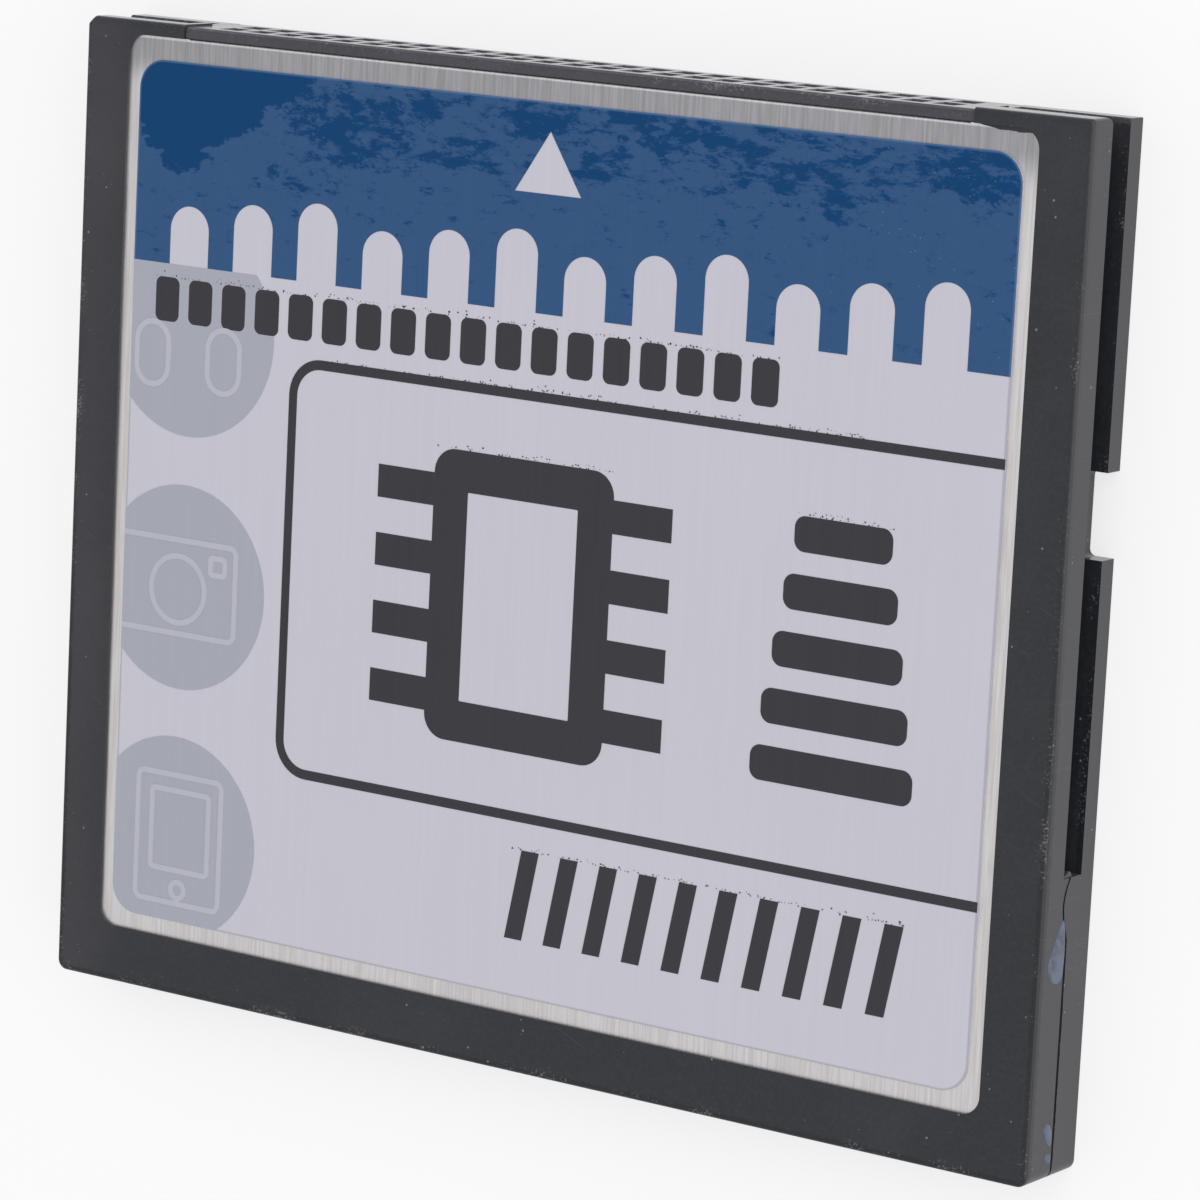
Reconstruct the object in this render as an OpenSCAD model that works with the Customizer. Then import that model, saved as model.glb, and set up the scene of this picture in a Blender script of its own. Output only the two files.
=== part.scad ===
// Flash memory card with 50 contacts, Type I size.
// X runs across the card, Y towards the connector end and Z towards the label.
// The origin is the centre of the back face.

/* [Card] */
// Width across the card
card_w = 42.8; // [42:0.1:50]
// Length from the back edge to the connector end
card_l = 36.4; // [36:0.1:45]
// Thickness over both frames
card_t = 3.3; // [3.2:0.05:5]
// Radius of the back corners seen from above
corner_r = 0.4; // [0.4:0.05:1]
// Radius of the corners at the connector end
end_corner_r = 0.15; // [0.15:0.01:0.6]
// Chamfer on the upper frame's left corner at the connector end
end_chamfer = 0.38; // [0.2:0.01:0.6]
// Distance from the upper frame's end back to the face of the connector
end_recess = 0.08; // [0.02:0.01:0.15]
// Radius of the softened edge round the label side
edge_r = 0.13; // [0.05:0.01:0.2]
// Clearance between parts that are slid together
fit = 0.03; // [0.01:0.01:0.06]

/* [Frames] */
// Width of the frame's border beside the sheet covers
side_border = 2.01; // [1.8:0.01:2.4]
// Width of the frame's border behind the sheet covers
back_border = 2.16; // [1.9:0.01:2.5]
// Distance from the connector end to the sheet covers
front_border = 0.53; // [0.4:0.01:0.7]
// Radius of the frame's window corners
window_r = 0.7; // [0.4:0.05:1.2]
// Width of the ledge that holds the circuit board's edge
board_ledge = 0.5; // [0.3:0.05:0.8]
// Thickness of the side wall between the board's edge and the guide slot
side_wall = 0.95; // [0.7:0.05:1]
// Width of the welding rib between the two frames
rib_w = 0.6; // [0.4:0.05:0.8]
// Height of the welding rib
rib_h = 0.25; // [0.1:0.05:0.4]
// Distance from the outside to the welding rib
rib_inset = 0.8; // [0.6:0.05:0.9]
// Height of the open seam line round the outside
seam_gap = 0.1; // [0.04:0.01:0.2]
// Depth of the open seam line
seam_deep = 0.2; // [0.1:0.05:0.3]

/* [Guide slots] */
// Thickness of the flange under both guide slots
back_flange_t = 0.82; // [0.8:0.01:1]
// Height of the guide slot on the right
right_slot_h = 1.2; // [1:0.01:1.3]
// Height of the wider guide slot on the left
left_slot_h = 1.45; // [1.35:0.01:1.7]
// Depth of the guide slots
slot_deep = 1.2; // [1:0.05:1.3]
// Length of the guide slots from the connector end
slot_l = 25.8; // [20:0.1:27]
// Radius at the blind end of the guide slots
slot_end_r = 0.5; // [0.2:0.05:0.55]
// Radius that opens the mouth of the guide slots
mouth_r = 0.3; // [0.1:0.05:0.45]
// Length of the deep pocket at the mouth of each slot
pocket_l = 3.9; // [3:0.1:4.1]
// Wall left between the deep pocket and the connector
pocket_wall = 0.35; // [0.25:0.05:0.8]
// Width of the notch across the back flange
notch_w = 3; // [2:0.1:4]
// Distance from the connector end to the notch
notch_from_end = 12; // [9:0.1:14]
// Depth of the notch
notch_deep = 0.94; // [0.6:0.02:1]
// Radius in the notch's corners
notch_r = 0.25; // [0.1:0.05:0.4]

/* [Sheet covers] */
// Thickness of the sheet
sheet_t = 0.18; // [0.12:0.01:0.2]
// Depth of the sheet's face below the frame's face
sheet_sink = 0.1; // [0.09:0.01:0.15]
// Width of the sheet's edge that the frame holds
sheet_hold = 0.6; // [0.4:0.05:0.65]
// Radius of the sheet's corners
sheet_r = 0.9; // [0.5:0.05:1.2]
// Outer radius of the sharp bend at the connector end
bend_r = 0.1; // [0.05:0.01:0.15]
// Reach of the bent flange below the sheet
flange_l = 0.22; // [0.15:0.01:0.25]
// Gap between the sheet's bent edge and the connector's lip
lip_gap = 0.02; // [0.01:0.01:0.08]
// Thickness of the insulating films
film_t = 0.05; // [0.03:0.01:0.08]

/* [Connector] */
// Number of contacts in each row
row_pins = 25; // [21:1:25]
// Distance between neighbouring contacts
pitch = 1.27; // [1.2:0.01:1.3]
// Width of a contact's square cavity
cavity_w = 0.62; // [0.55:0.01:0.66]
// Width of the lead-in at the mating face
lead_in_w = 0.92; // [0.8:0.01:1]
// Depth of the lead-in
lead_in_d = 0.28; // [0.1:0.01:0.35]
// Solid wall beyond the last contact of a row
end_wall = 1.1; // [0.9:0.05:1.2]
// Length of the connector from its back to the mating face
conn_l = 5.5; // [5.2:0.1:6]
// Length of the ears that the frames hold
ear_l = 1.2; // [0.8:0.05:1.2]
// Reach of the ears beyond the housing's side
ear_w = 1.55; // [1:0.05:1.6]
// Height of the ears
ear_h = 1.4; // [1:0.05:1.6]
// Height of the lip's face below the frame's face
lip_sink = 0.08; // [0.05:0.01:0.15]
// Chamfer along the lip's edges
lip_chamfer = 0.08; // [0.03:0.01:0.12]
// Thickness of the contact strip
strip_t = 0.1; // [0.06:0.01:0.12]
// Width of the contact's springs and tail
strip_w = 0.4; // [0.3:0.01:0.45]
// Length of the contact's block that grips the cavity
grip_l = 1.2; // [0.8:0.05:1.5]
// Half of the gap between a contact's two springs
spring_gap = 0.1; // [0.06:0.01:0.13]
// Distance from the mating face to the springs' tips
tip_back = 0.6; // [0.4:0.05:0.9]
// Length of the tail's foot on the board
foot_l = 1; // [0.6:0.05:1.3]

/* [Circuit board] */
// Thickness of the circuit board
board_t = 0.6; // [0.4:0.05:0.7]
// Gap between the circuit board and the connector
board_gap = 0.5; // [0.4:0.05:0.8]
// Clearance over the tallest parts
part_clear = 0.02; // [0.01:0.01:0.05]
// Gap between the board's edge and the parts
edge_gap = 1.2; // [1:0.05:1.3]
// Gap between neighbouring parts
part_gap = 1.3; // [1:0.05:1.4]
// Height of a chip's body above the board
standoff = 0.05; // [0.03:0.01:0.1]
// Thickness of the chips' leads
lead_t = 0.12; // [0.08:0.01:0.15]
// Width of the chips' leads
lead_w = 0.22; // [0.15:0.01:0.28]
// Distance between the chips' leads
lead_pitch = 0.5; // [0.45:0.01:0.5]
// Length of the memory chip's body
flash_l = 18.4; // [17:0.1:18.6]
// Width of the memory chip's body
flash_w = 12; // [11.8:0.1:12.4]
// Reach of the memory chip's leads
flash_lead = 0.8; // [0.6:0.05:0.9]
// Number of leads on each end of the memory chip
flash_leads = 24; // [16:1:24]
// Size of the controller's square body
ctrl_w = 10; // [9:0.1:10.4]
// Reach of the controller's leads
ctrl_lead = 1; // [0.7:0.05:1.1]
// Number of leads on each side of the controller
ctrl_leads = 16; // [8:1:16]
// Length of the crystal
crystal_l = 5; // [3.2:0.1:6]
// Width of the crystal
crystal_w = 3.2; // [2.5:0.1:3.4]
// Height of the crystal's ceramic base
crystal_base_h = 0.45; // [0.3:0.05:0.6]
// Length of the regulator's body
reg_l = 2.9; // [2.5:0.1:3.2]
// Width of the regulator's body
reg_w = 1.6; // [1.4:0.1:1.8]
// Reach of the regulator's leads
reg_lead = 0.6; // [0.4:0.05:0.7]
// Length of the small capacitors and resistors
chip_l = 1.6; // [1:0.1:1.8]
// Width of the small capacitors and resistors
chip_w = 0.8; // [0.5:0.05:1]
// Height of the capacitors
cap_h = 0.8; // [0.5:0.05:0.85]
// Height of the resistors
res_h = 0.45; // [0.3:0.05:0.6]
// Length of the resistor arrays
array_l = 3.2; // [2.6:0.1:3.6]
// Width of the resistor arrays
array_w = 1.6; // [1.2:0.1:1.8]
// Height of the resistor arrays
array_h = 0.55; // [0.4:0.05:0.7]

/* [Label] */
// Gap between the label and the frame at each side
label_side_gap = 0.56; // [0.3:0.01:1.5]
// Gap between the label and the frame at the back
label_back_gap = 0.64; // [0.3:0.01:1.5]
// Gap between the label and the sheet's edge at the connector end
label_gap = 0.84; // [0.4:0.01:1.5]
// Radius of the label's corners
label_r = 1.1; // [0.5:0.05:2]
// Thickness of the label
label_t = 0.06; // [0.03:0.01:0.06]
// Thickness of one layer of print
ink_t = 0.015; // [0.01:0.001:0.015]
// Height of the blue field
header_h = 7.47; // [7:0.01:8.5]
// Width of the arrowhead in the blue field
arrow_w = 2.86; // [2:0.01:3.5]
// Height of the arrowhead
arrow_h = 2.21; // [1.6:0.01:2.8]
// Distance from the label's edge to the arrowhead's point
arrow_gap = 1.03; // [0.6:0.01:1.6]
// Number of open bars in the blue field
bars = 12; // [6:1:14]
// Width of an open bar
bar_w = 1.8; // [1:0.05:2]
// Height of the shortest open bar up to its round end
bar_h = 1.3; // [0.8:0.05:1.8]
// Rise from one open bar to the next
bar_rise = 0.35; // [0.1:0.05:0.6]
// Number of dark dashes under the blue field
dashes = 18; // [10:1:20]
// Width of a dash
dash_w = 1.1; // [0.8:0.05:1.3]
// Height of a dash
dash_h = 1.65; // [1.2:0.05:2]
// Distance from one dash to the next
dash_step = 1.55; // [1.4:0.01:1.7]
// Gap between the blue field and the dashes
dash_gap = 0.5; // [0.2:0.05:0.7]
// Radius of the grey discs
disc_r = 3.85; // [3.4:0.05:4.2]
// Distance between the grey discs
disc_pitch = 9.53; // [9:0.01:9.8]
// Distance from the label's side to the middle of the discs
disc_in = 2.83; // [2.4:0.01:3.2]
// Distance from the label's back edge to the middle of the last disc
disc_up = 3.22; // [2.8:0.01:3.8]
// Width of the pale lines on the discs
thin_w = 0.22; // [0.15:0.01:0.3]
// Width of the dark frame's line
line_w = 0.36; // [0.2:0.01:0.5]
// Distance from the label's side to the dark frame
frame_in = 7.48; // [7:0.01:8]
// Distance from the blue field to the dark frame
frame_gap = 2.78; // [2.4:0.01:3.2]
// Distance from the label's back edge to the dark frame
frame_up = 6.41; // [6:0.01:7]
// Radius of the dark frame's corners
frame_r = 1.4; // [0.8:0.05:2]
// Width of the drawn chip
drawn_w = 7.8; // [6:0.1:9]
// Height of the drawn chip
drawn_h = 10.6; // [8:0.1:12]
// Width of the drawn chip's outline
drawn_line = 1.5; // [0.8:0.05:2]
// Length of the drawn chip's pins
pin_l = 2.5; // [1.5:0.1:3]
// Width of the drawn chip's pins
pin_w = 1.2; // [0.8:0.05:1.4]
// Distance between the drawn chip's pins
pin_step = 2.5; // [2:0.05:2.6]
// Gap between the dark frame and the drawn chip's pins
drawn_gap = 4.2; // [3:0.1:5]
// Distance from the label's side to the stack of bars
stack_in = 2.85; // [2:0.05:4]
// Length of the longest bar in the stack
stack_w = 6.6; // [5:0.1:7]
// Height of a bar in the stack
stack_h = 1.25; // [0.8:0.05:1.5]
// Distance between the bars in the stack
stack_step = 2.05; // [1.8:0.05:2.2]
// Width of a slanted stroke
stroke_w = 0.75; // [0.4:0.05:1]
// Height of a slanted stroke
stroke_h = 3.3; // [2.5:0.05:3.6]
// Distance from the label's back edge to the slanted strokes
stroke_up = 2.1; // [1.5:0.05:2.8]
// Distance between the slanted strokes
stroke_step = 1.7; // [1.5:0.05:1.9]

/* [Hidden] */
$fn = 48;
far = 1;
side_x = card_w / 2;
front_y = card_l / 2;
mate_y = front_y - end_recess;
back_y = -card_l / 2;
end_r = max(end_corner_r, edge_r + 0.02);
seam_z = card_t / 2;
// sheet covers, heights given for the label side
sheet_top = card_t - sheet_sink;
sheet_under = sheet_top - sheet_t;
sheet_front = front_y - front_border;
window_x = side_x - side_border;
window_back = back_y + back_border;
sheet_x = window_x + sheet_hold;
sheet_back = window_back - sheet_hold;
// guide slots
slot_x = side_x - slot_deep;
slot_end = front_y - slot_l;
// circuit board and the room round it
board_x = slot_x - side_wall - fit;
inner_x = board_x + fit - board_ledge;
inner_back = window_back + sheet_hold;
board_back = inner_back - board_ledge;
conn_back = mate_y - conn_l;
board_front = conn_back - board_gap;
board_top = seam_z + board_t / 2;
board_under = seam_z - board_t / 2;
film_under = sheet_under - film_t;
room_h = film_under - board_top;
tall_h = room_h - part_clear;
// connector
conn_x = (row_pins - 1) * pitch / 2 + end_wall + lead_in_w / 2;
row_z = pitch / 2;
groove_back = sheet_front - sheet_t - 2 * fit;
lip_back = sheet_front + lip_gap;
lip_top = card_t - lip_sink;
flange_h = sheet_t + flange_l;
groove_floor = sheet_top - flange_h - fit;
flange_x = conn_x - 0.15;
// parts on the board
flash_x = -board_x + edge_gap + flash_lead + flash_l / 2;
flash_y = board_back + edge_gap + flash_w / 2;
ctrl_x = (flash_x + flash_l / 2 + flash_lead + board_x) / 2;
crystal_y = board_back + edge_gap + crystal_w / 2;
ctrl_y = crystal_y + crystal_w / 2 + part_gap + ctrl_lead + ctrl_w / 2;
small_y = flash_y + flash_w / 2 + part_gap + chip_w / 2;
cap_y = small_y + chip_w + part_gap;
reg_x = -board_x + edge_gap + reg_l / 2;
reg_y = cap_y + chip_w / 2 + part_gap + reg_lead + reg_w / 2;
array_y = board_front - foot_l - part_gap - array_w / 2;
// label
label_x = window_x - label_side_gap;
label_front = sheet_front - label_gap;
label_back = window_back + label_back_gap;
label_top = sheet_top + label_t;
header_y = label_front - header_h;
disc_x = -label_x + disc_in;
disc_y = label_back + disc_up;
// printed frame, and the shapes inside it
frame_top = header_y - frame_gap;
frame_low = label_back + frame_up;
frame_y = (frame_top + frame_low) / 2;
drawn_x = -label_x + frame_in + pin_l + drawn_w / 2 + drawn_gap;
stack_x = label_x - stack_in - stack_w / 2;
CAPS = 8;
RESISTORS = 6;
ARRAYS = 4;

// Helpers that the pieces share

// Rectangle with rounded corners, from its lower left corner to its upper right one
module rounded(x0, y0, x1, y1, r) {
    translate([x0 + r, y0]) square([x1 - x0 - 2 * r, y1 - y0]);
    translate([x0, y0 + r]) square([x1 - x0, y1 - y0 - 2 * r]);
    for (x = [x0 + r, x1 - r], y = [y0 + r, y1 - r])
        translate([x, y]) circle(r = r);
}

// Extrudes a Y and Z section along X, centred
module along_x(l) {
    translate([-l / 2, 0, 0]) rotate([90, 0, 90]) linear_extrude(l) children();
}

// Extrudes an X and Z section along Y, from y0 to y1
module along_y(y0, y1) {
    translate([0, y1, 0]) rotate([90, 0, 0]) linear_extrude(y1 - y0) children();
}

// Extrudes a plan from z0 to z1
module upright(z0, z1) {
    translate([0, 0, z0]) linear_extrude(z1 - z0) children();
}

// Turns a label-side part over to the back side
module flip() {
    translate([0, 0, card_t]) mirror([0, 0, 1]) children();
}

// The same thing on the right and on the left
module both_sides() {
    children();
    mirror([1, 0, 0]) children();
}

// Plastic frames

// Half of the card's section, with its label-side edge rounded
module edge_section(reach) {
    square([reach, card_t - edge_r]);
    square([reach - edge_r, card_t]);
    intersection() {
        translate([reach - edge_r, card_t - edge_r]) circle(r = edge_r);
        square([reach, card_t]);
    }
}

module full_section(reach) {
    edge_section(reach);
    mirror([1, 0]) edge_section(reach);
}

// The whole card as one block, before anything is cut from it
module card_block() {
    along_x(card_w - 2 * end_r) edge_section(front_y);
    along_x(card_w - 2 * corner_r) mirror([1, 0]) edge_section(front_y);
    along_y(back_y + corner_r, front_y - end_r) full_section(side_x);
    for (x = [-1, 1]) {
        translate([x * (side_x - corner_r), back_y + corner_r, 0]) rotate_extrude() edge_section(corner_r);
        translate([x * (side_x - end_r), front_y - end_r, 0]) rotate_extrude() edge_section(end_r);
    }
}

// Plan of one guide slot, with the deep pocket at its mouth
module slot_plan() {
    translate([slot_x + slot_end_r, slot_end]) square([side_x, slot_l + far]);
    translate([slot_x, slot_end + slot_end_r]) square([side_x, slot_l + far]);
    translate([slot_x + slot_end_r, slot_end + slot_end_r]) circle(r = slot_end_r);
    translate([conn_x + fit + pocket_wall, front_y - pocket_l]) square([side_x, pocket_l + far]);
}

// Side view of one guide slot, opened out at its mouth
module slot_side(h) {
    translate([slot_end - far, back_flange_t]) square([slot_l + 2 * far, h]);
    for (m = [0, 1])
        translate([front_y - mouth_r, back_flange_t + h / 2])
            mirror([0, m])
                translate([0, h / 2])
                    difference() {
                        translate([0, -mouth_r / 2]) square([mouth_r + far, 1.5 * mouth_r]);
                        translate([0, mouth_r]) circle(r = mouth_r);
                    }
}

module guide_slot(h) {
    intersection() {
        upright(0, card_t) slot_plan();
        along_x(2 * card_w) slot_side(h);
    }
}

// Notch across the flange under a guide slot
module notch() {
    upright(-far, back_flange_t + far / 10)
        rounded(side_x - notch_deep, front_y - notch_from_end - notch_w, side_x + far, front_y - notch_from_end, notch_r);
}

// Space for one sheet cover, and the window over it
module cover_space() {
    upright(sheet_under, sheet_top)
        rounded(-sheet_x - fit, sheet_back - fit, sheet_x + fit, sheet_front + fit, sheet_r + fit);
    upright(sheet_top - 0.01, card_t + far)
        rounded(-window_x, window_back, window_x, sheet_front, window_r);
}

// Everything that is cut from both frames
module frame_cuts() {
    cover_space();
    flip() cover_space();
    // room for the parts on the board
    translate([-inner_x, inner_back, sheet_sink + sheet_t])
        cube([2 * inner_x, conn_back - inner_back, card_t - 2 * sheet_sink - 2 * sheet_t]);
    // seat of the circuit board
    translate([-board_x - fit, board_back - fit, board_under])
        cube([2 * (board_x + fit), board_front - board_back + 2 * fit, board_t]);
    // room for the connector and its ears
    translate([-conn_x - fit, conn_back - far, -far])
        cube([2 * (conn_x + fit), conn_l + 2 * far, card_t + 2 * far]);
    translate([-conn_x - ear_w - fit, conn_back - fit, seam_z - ear_h / 2])
        cube([2 * (conn_x + ear_w + fit), ear_l + 2 * fit, ear_h]);
    guide_slot(right_slot_h);
    mirror([1, 0, 0]) guide_slot(left_slot_h);
    both_sides() notch();
}

// U-shaped plan of the welding rib, grown by a clearance
module rib_plan(grow) {
    difference() {
        translate([-side_x + rib_inset - grow, back_y + rib_inset - grow])
            square([2 * (side_x - rib_inset + grow), slot_end - back_y - 2 * rib_inset + 2 * grow]);
        translate([-side_x + rib_inset + rib_w + grow, back_y + rib_inset + rib_w + grow])
            square([2 * (side_x - rib_inset - rib_w - grow), slot_l]);
    }
}

module bottom_frame() {
    color("DimGray") {
        difference() {
            intersection() {
                card_block();
                translate([-card_w, -card_l, 0]) cube([2 * card_w, 2 * card_l, seam_z]);
            }
            frame_cuts();
            // the lower half ends flush with the connector's face
            translate([-card_w, mate_y, -far]) cube([2 * card_w, far, card_t]);
            // open seam line round the outside
            difference() {
                translate([-card_w, -card_l, seam_z - seam_gap]) cube([2 * card_w, 2 * card_l, seam_gap + far]);
                upright(seam_z - seam_gap, seam_z + far)
                    rounded(-side_x + seam_deep, back_y + seam_deep, side_x - seam_deep, front_y - seam_deep, corner_r);
            }
        }
        upright(seam_z - rib_h, seam_z + rib_h) rib_plan(0);
    }
}

module top_frame() {
    color("DimGray") difference() {
        card_block();
        translate([-card_w, -card_l, -far]) cube([2 * card_w, 2 * card_l, seam_z + far]);
        frame_cuts();
        upright(seam_z - far, seam_z + rib_h + fit) rib_plan(fit);
        upright(-far, card_t + far)
            polygon([
                [-side_x - far, front_y - end_chamfer - far],
                [-side_x + end_chamfer + far, front_y + far],
                [-side_x - far, front_y + far]
            ]);
    }
}

// Sheet covers and films

// One sheet cover, drawn on the label side
module sheet_cover() {
    difference() {
        upright(sheet_under, sheet_top) rounded(-sheet_x, sheet_back, sheet_x, sheet_front, sheet_r);
        translate([-flange_x, groove_back, sheet_under - far]) cube([2 * flange_x, sheet_t + far, sheet_t + 2 * far]);
    }
    // front edge bent down sharply behind the connector's lip
    along_x(2 * flange_x) {
        translate([groove_back, sheet_under]) square([sheet_front - groove_back - bend_r, sheet_t]);
        translate([sheet_front - sheet_t, sheet_top - flange_h]) square([sheet_t, flange_h - bend_r]);
        translate([sheet_front - bend_r, sheet_top - bend_r]) circle(r = bend_r);
    }
}

module bottom_panel() {
    color("Silver") flip() sheet_cover();
}

module top_panel() {
    color("Silver") sheet_cover();
}

module film() {
    translate([-inner_x + fit, inner_back + fit, film_under])
        cube([2 * (inner_x - fit), conn_back - inner_back - 2 * fit, film_t]);
}

module bottom_insulator() {
    color("DarkKhaki") flip() film();
}

module top_insulator() {
    color("DarkKhaki") film();
}

// Connector

// Upper half of the housing's section, measured from the middle of the card
module housing_half() {
    polygon([
        [conn_back, 0],
        [conn_back, sheet_under - seam_z],
        [groove_back, sheet_under - seam_z],
        [groove_back, groove_floor - seam_z],
        [lip_back, groove_floor - seam_z],
        [lip_back, lip_top - seam_z - lip_chamfer / 2],
        [lip_back + lip_chamfer / 2, lip_top - seam_z],
        [mate_y - lip_chamfer, lip_top - seam_z],
        [mate_y, lip_top - seam_z - lip_chamfer],
        [mate_y, 0]
    ]);
}

// Half-section of the tapered lead-in, used in plan and in side view
module lead_in() {
    polygon([
        [mate_y - lead_in_d, -cavity_w / 2],
        [mate_y, -lead_in_w / 2],
        [mate_y + far, -lead_in_w / 2],
        [mate_y + far, lead_in_w / 2],
        [mate_y, lead_in_w / 2],
        [mate_y - lead_in_d, cavity_w / 2]
    ]);
}

// One contact's cavity, right through the housing
module contact_cavity() {
    translate([-cavity_w / 2, conn_back - far, -cavity_w / 2]) cube([cavity_w, conn_l + far, cavity_w]);
    intersection() {
        along_x(lead_in_w) lead_in();
        upright(-lead_in_w / 2, lead_in_w / 2) mirror([1, -1]) lead_in();
    }
}

// Children at every contact's place in one row
module along_row() {
    for (i = [0:row_pins - 1])
        translate([(i - (row_pins - 1) / 2) * pitch, 0, 0]) children();
}

module connector_housing() {
    color("Gray") difference() {
        union() {
            translate([0, 0, seam_z]) along_x(2 * conn_x) {
                housing_half();
                mirror([0, 1]) housing_half();
            }
            translate([-conn_x - ear_w, conn_back, seam_z - ear_h / 2])
                cube([2 * (conn_x + ear_w), ear_l, ear_h]);
        }
        for (s = [-1, 1])
            translate([0, 0, seam_z + s * row_z]) along_row() contact_cavity();
    }
}

// Side view of one spring, measured from the row's middle
module spring_side() {
    grip_end = conn_back + fit + grip_l - 0.1;
    tip = mate_y - tip_back;
    polygon([
        [grip_end, cavity_w / 2 - 0.02],
        [tip - 0.9, spring_gap + strip_t],
        [tip - 0.6, spring_gap + strip_t],
        [tip, cavity_w / 2 - 0.03],
        [tip, cavity_w / 2 - 0.03 - strip_t],
        [tip - 0.6, spring_gap],
        [tip - 0.9, spring_gap],
        [grip_end, cavity_w / 2 - 0.02 - strip_t]
    ]);
}

// Side view of the tail, from the grip down to the board
module tail_side() {
    drop = row_z - board_t / 2;
    heel = board_front - 0.05;
    polygon([
        [conn_back + 2 * fit, strip_t / 2],
        [conn_back - 0.1, strip_t / 2],
        [heel, strip_t - drop],
        [board_front - foot_l, strip_t - drop],
        [board_front - foot_l, -drop],
        [heel, -drop],
        [conn_back - 0.1, -strip_t / 2],
        [conn_back + 2 * fit, -strip_t / 2]
    ]);
}

// One forked contact, about the middle of its row
module contact() {
    translate([-cavity_w / 2, conn_back + fit, -cavity_w / 2]) cube([cavity_w, grip_l, cavity_w]);
    along_x(strip_w) {
        spring_side();
        mirror([0, 1]) spring_side();
        tail_side();
    }
}

module upper_contacts() {
    color("Gold") translate([0, 0, seam_z + row_z]) along_row() contact();
}

module lower_contacts() {
    color("Gold") translate([0, 0, seam_z - row_z]) mirror([0, 0, 1]) along_row() contact();
}

// Circuit board and its parts

module circuit_board() {
    color("DarkGreen") translate([-board_x, board_back, board_under])
        cube([2 * board_x, board_front - board_back, board_t]);
}

// Stands its children on the board's upper face
module on_board(x, y) {
    translate([x, y, board_top]) children();
}

// Moulded body with drafted sides, as two prisms meeting at its parting line
module chip_body(l, w) {
    h = tall_h - standoff;
    draft = 0.1;
    intersection() {
        translate([0, 0, standoff]) along_x(l) chip_side(w, h, draft);
        translate([0, w / 2, standoff]) rotate([90, 0, 0]) linear_extrude(w) chip_side(l, h, draft);
    }
}

module chip_side(w, h, draft) {
    polygon([
        [-w / 2 + draft, 0],
        [-w / 2, h / 2 - lead_t / 2],
        [-w / 2, h / 2 + lead_t / 2],
        [-w / 2 + draft, h],
        [w / 2 - draft, h],
        [w / 2, h / 2 + lead_t / 2],
        [w / 2, h / 2 - lead_t / 2],
        [w / 2 - draft, 0]
    ]);
}

// Gull-wing lead that leaves the body at its parting line and stands on the board
module gull_lead(reach) {
    z = standoff + (tall_h - standoff) / 2;
    knee = reach * 0.3;
    rotate([90, 0, 0]) translate([0, 0, -lead_w / 2]) linear_extrude(lead_w)
        polygon([
            [0, z - lead_t / 2],
            [knee, z - lead_t / 2],
            [knee + 0.1, 0],
            [reach, 0],
            [reach, lead_t],
            [knee + 0.1 + lead_t, lead_t],
            [knee + lead_t, z + lead_t / 2],
            [0, z + lead_t / 2]
        ]);
}

// A row of leads along one side of a body
module lead_row(n, step, off, reach) {
    for (i = [0:n - 1])
        translate([off, (i - (n - 1) / 2) * step, 0]) gull_lead(reach);
}

module flash_chip_body() {
    color("DarkSlateGray") on_board(flash_x, flash_y) chip_body(flash_l, flash_w);
}

module flash_chip_leads() {
    color("LightGray") on_board(flash_x, flash_y)
        for (a = [0, 180])
            rotate([0, 0, a]) lead_row(flash_leads, lead_pitch, flash_l / 2, flash_lead);
}

module controller_body() {
    color("DarkSlateGray") on_board(ctrl_x, ctrl_y) chip_body(ctrl_w, ctrl_w);
}

module controller_leads() {
    color("LightGray") on_board(ctrl_x, ctrl_y)
        for (a = [0:90:270])
            rotate([0, 0, a]) lead_row(ctrl_leads, lead_pitch, ctrl_w / 2, ctrl_lead);
}

module crystal_base() {
    color("Tan") on_board(ctrl_x, crystal_y)
        translate([-crystal_l / 2, -crystal_w / 2, 0]) cube([crystal_l, crystal_w, crystal_base_h]);
}

module crystal_lid() {
    rim = 0.3;
    color("Silver") on_board(ctrl_x, crystal_y)
        upright(crystal_base_h, tall_h)
            rounded(rim - crystal_l / 2, rim - crystal_w / 2, crystal_l / 2 - rim, crystal_w / 2 - rim, rim);
}

module regulator_body() {
    color("DarkSlateGray") on_board(reg_x, reg_y) chip_body(reg_l, reg_w);
}

// Two leads on one side and one on the other
module regulator_leads() {
    color("LightGray") on_board(reg_x, reg_y) {
        rotate([0, 0, -90]) lead_row(2, reg_l * 0.65, reg_w / 2, reg_lead);
        rotate([0, 0, 90]) lead_row(1, 1, reg_w / 2, reg_lead);
    }
}

// Small part with a body between two slightly thicker end caps
module end_capped(l, w, h) {
    cap = l * 0.2;
    translate([-l / 2 + cap / 2, -w / 2 + 0.02, 0.02]) cube([l - cap, w - 0.04, h - 0.04]);
    for (m = [0, 1])
        mirror([m, 0, 0]) translate([l / 2 - cap, -w / 2, 0]) cube([cap, w, h]);
}

// Odd capacitors stand on the label side of the board, even ones under it
module capacitor(i) {
    x = -board_x + edge_gap + chip_l / 2 + floor((i - 1) / 2) * (chip_l + part_gap);
    color("BurlyWood")
        if (i % 2 == 1) on_board(x, cap_y) end_capped(chip_l, chip_w, cap_h);
        else flip() on_board(x, cap_y) end_capped(chip_l, chip_w, cap_h);
}

module resistor(i) {
    x = -board_x + edge_gap + chip_l / 2 + (i - 1) * (chip_l + part_gap);
    color("DarkSlateGray") on_board(x, small_y) end_capped(chip_l, chip_w, res_h);
}

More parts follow.
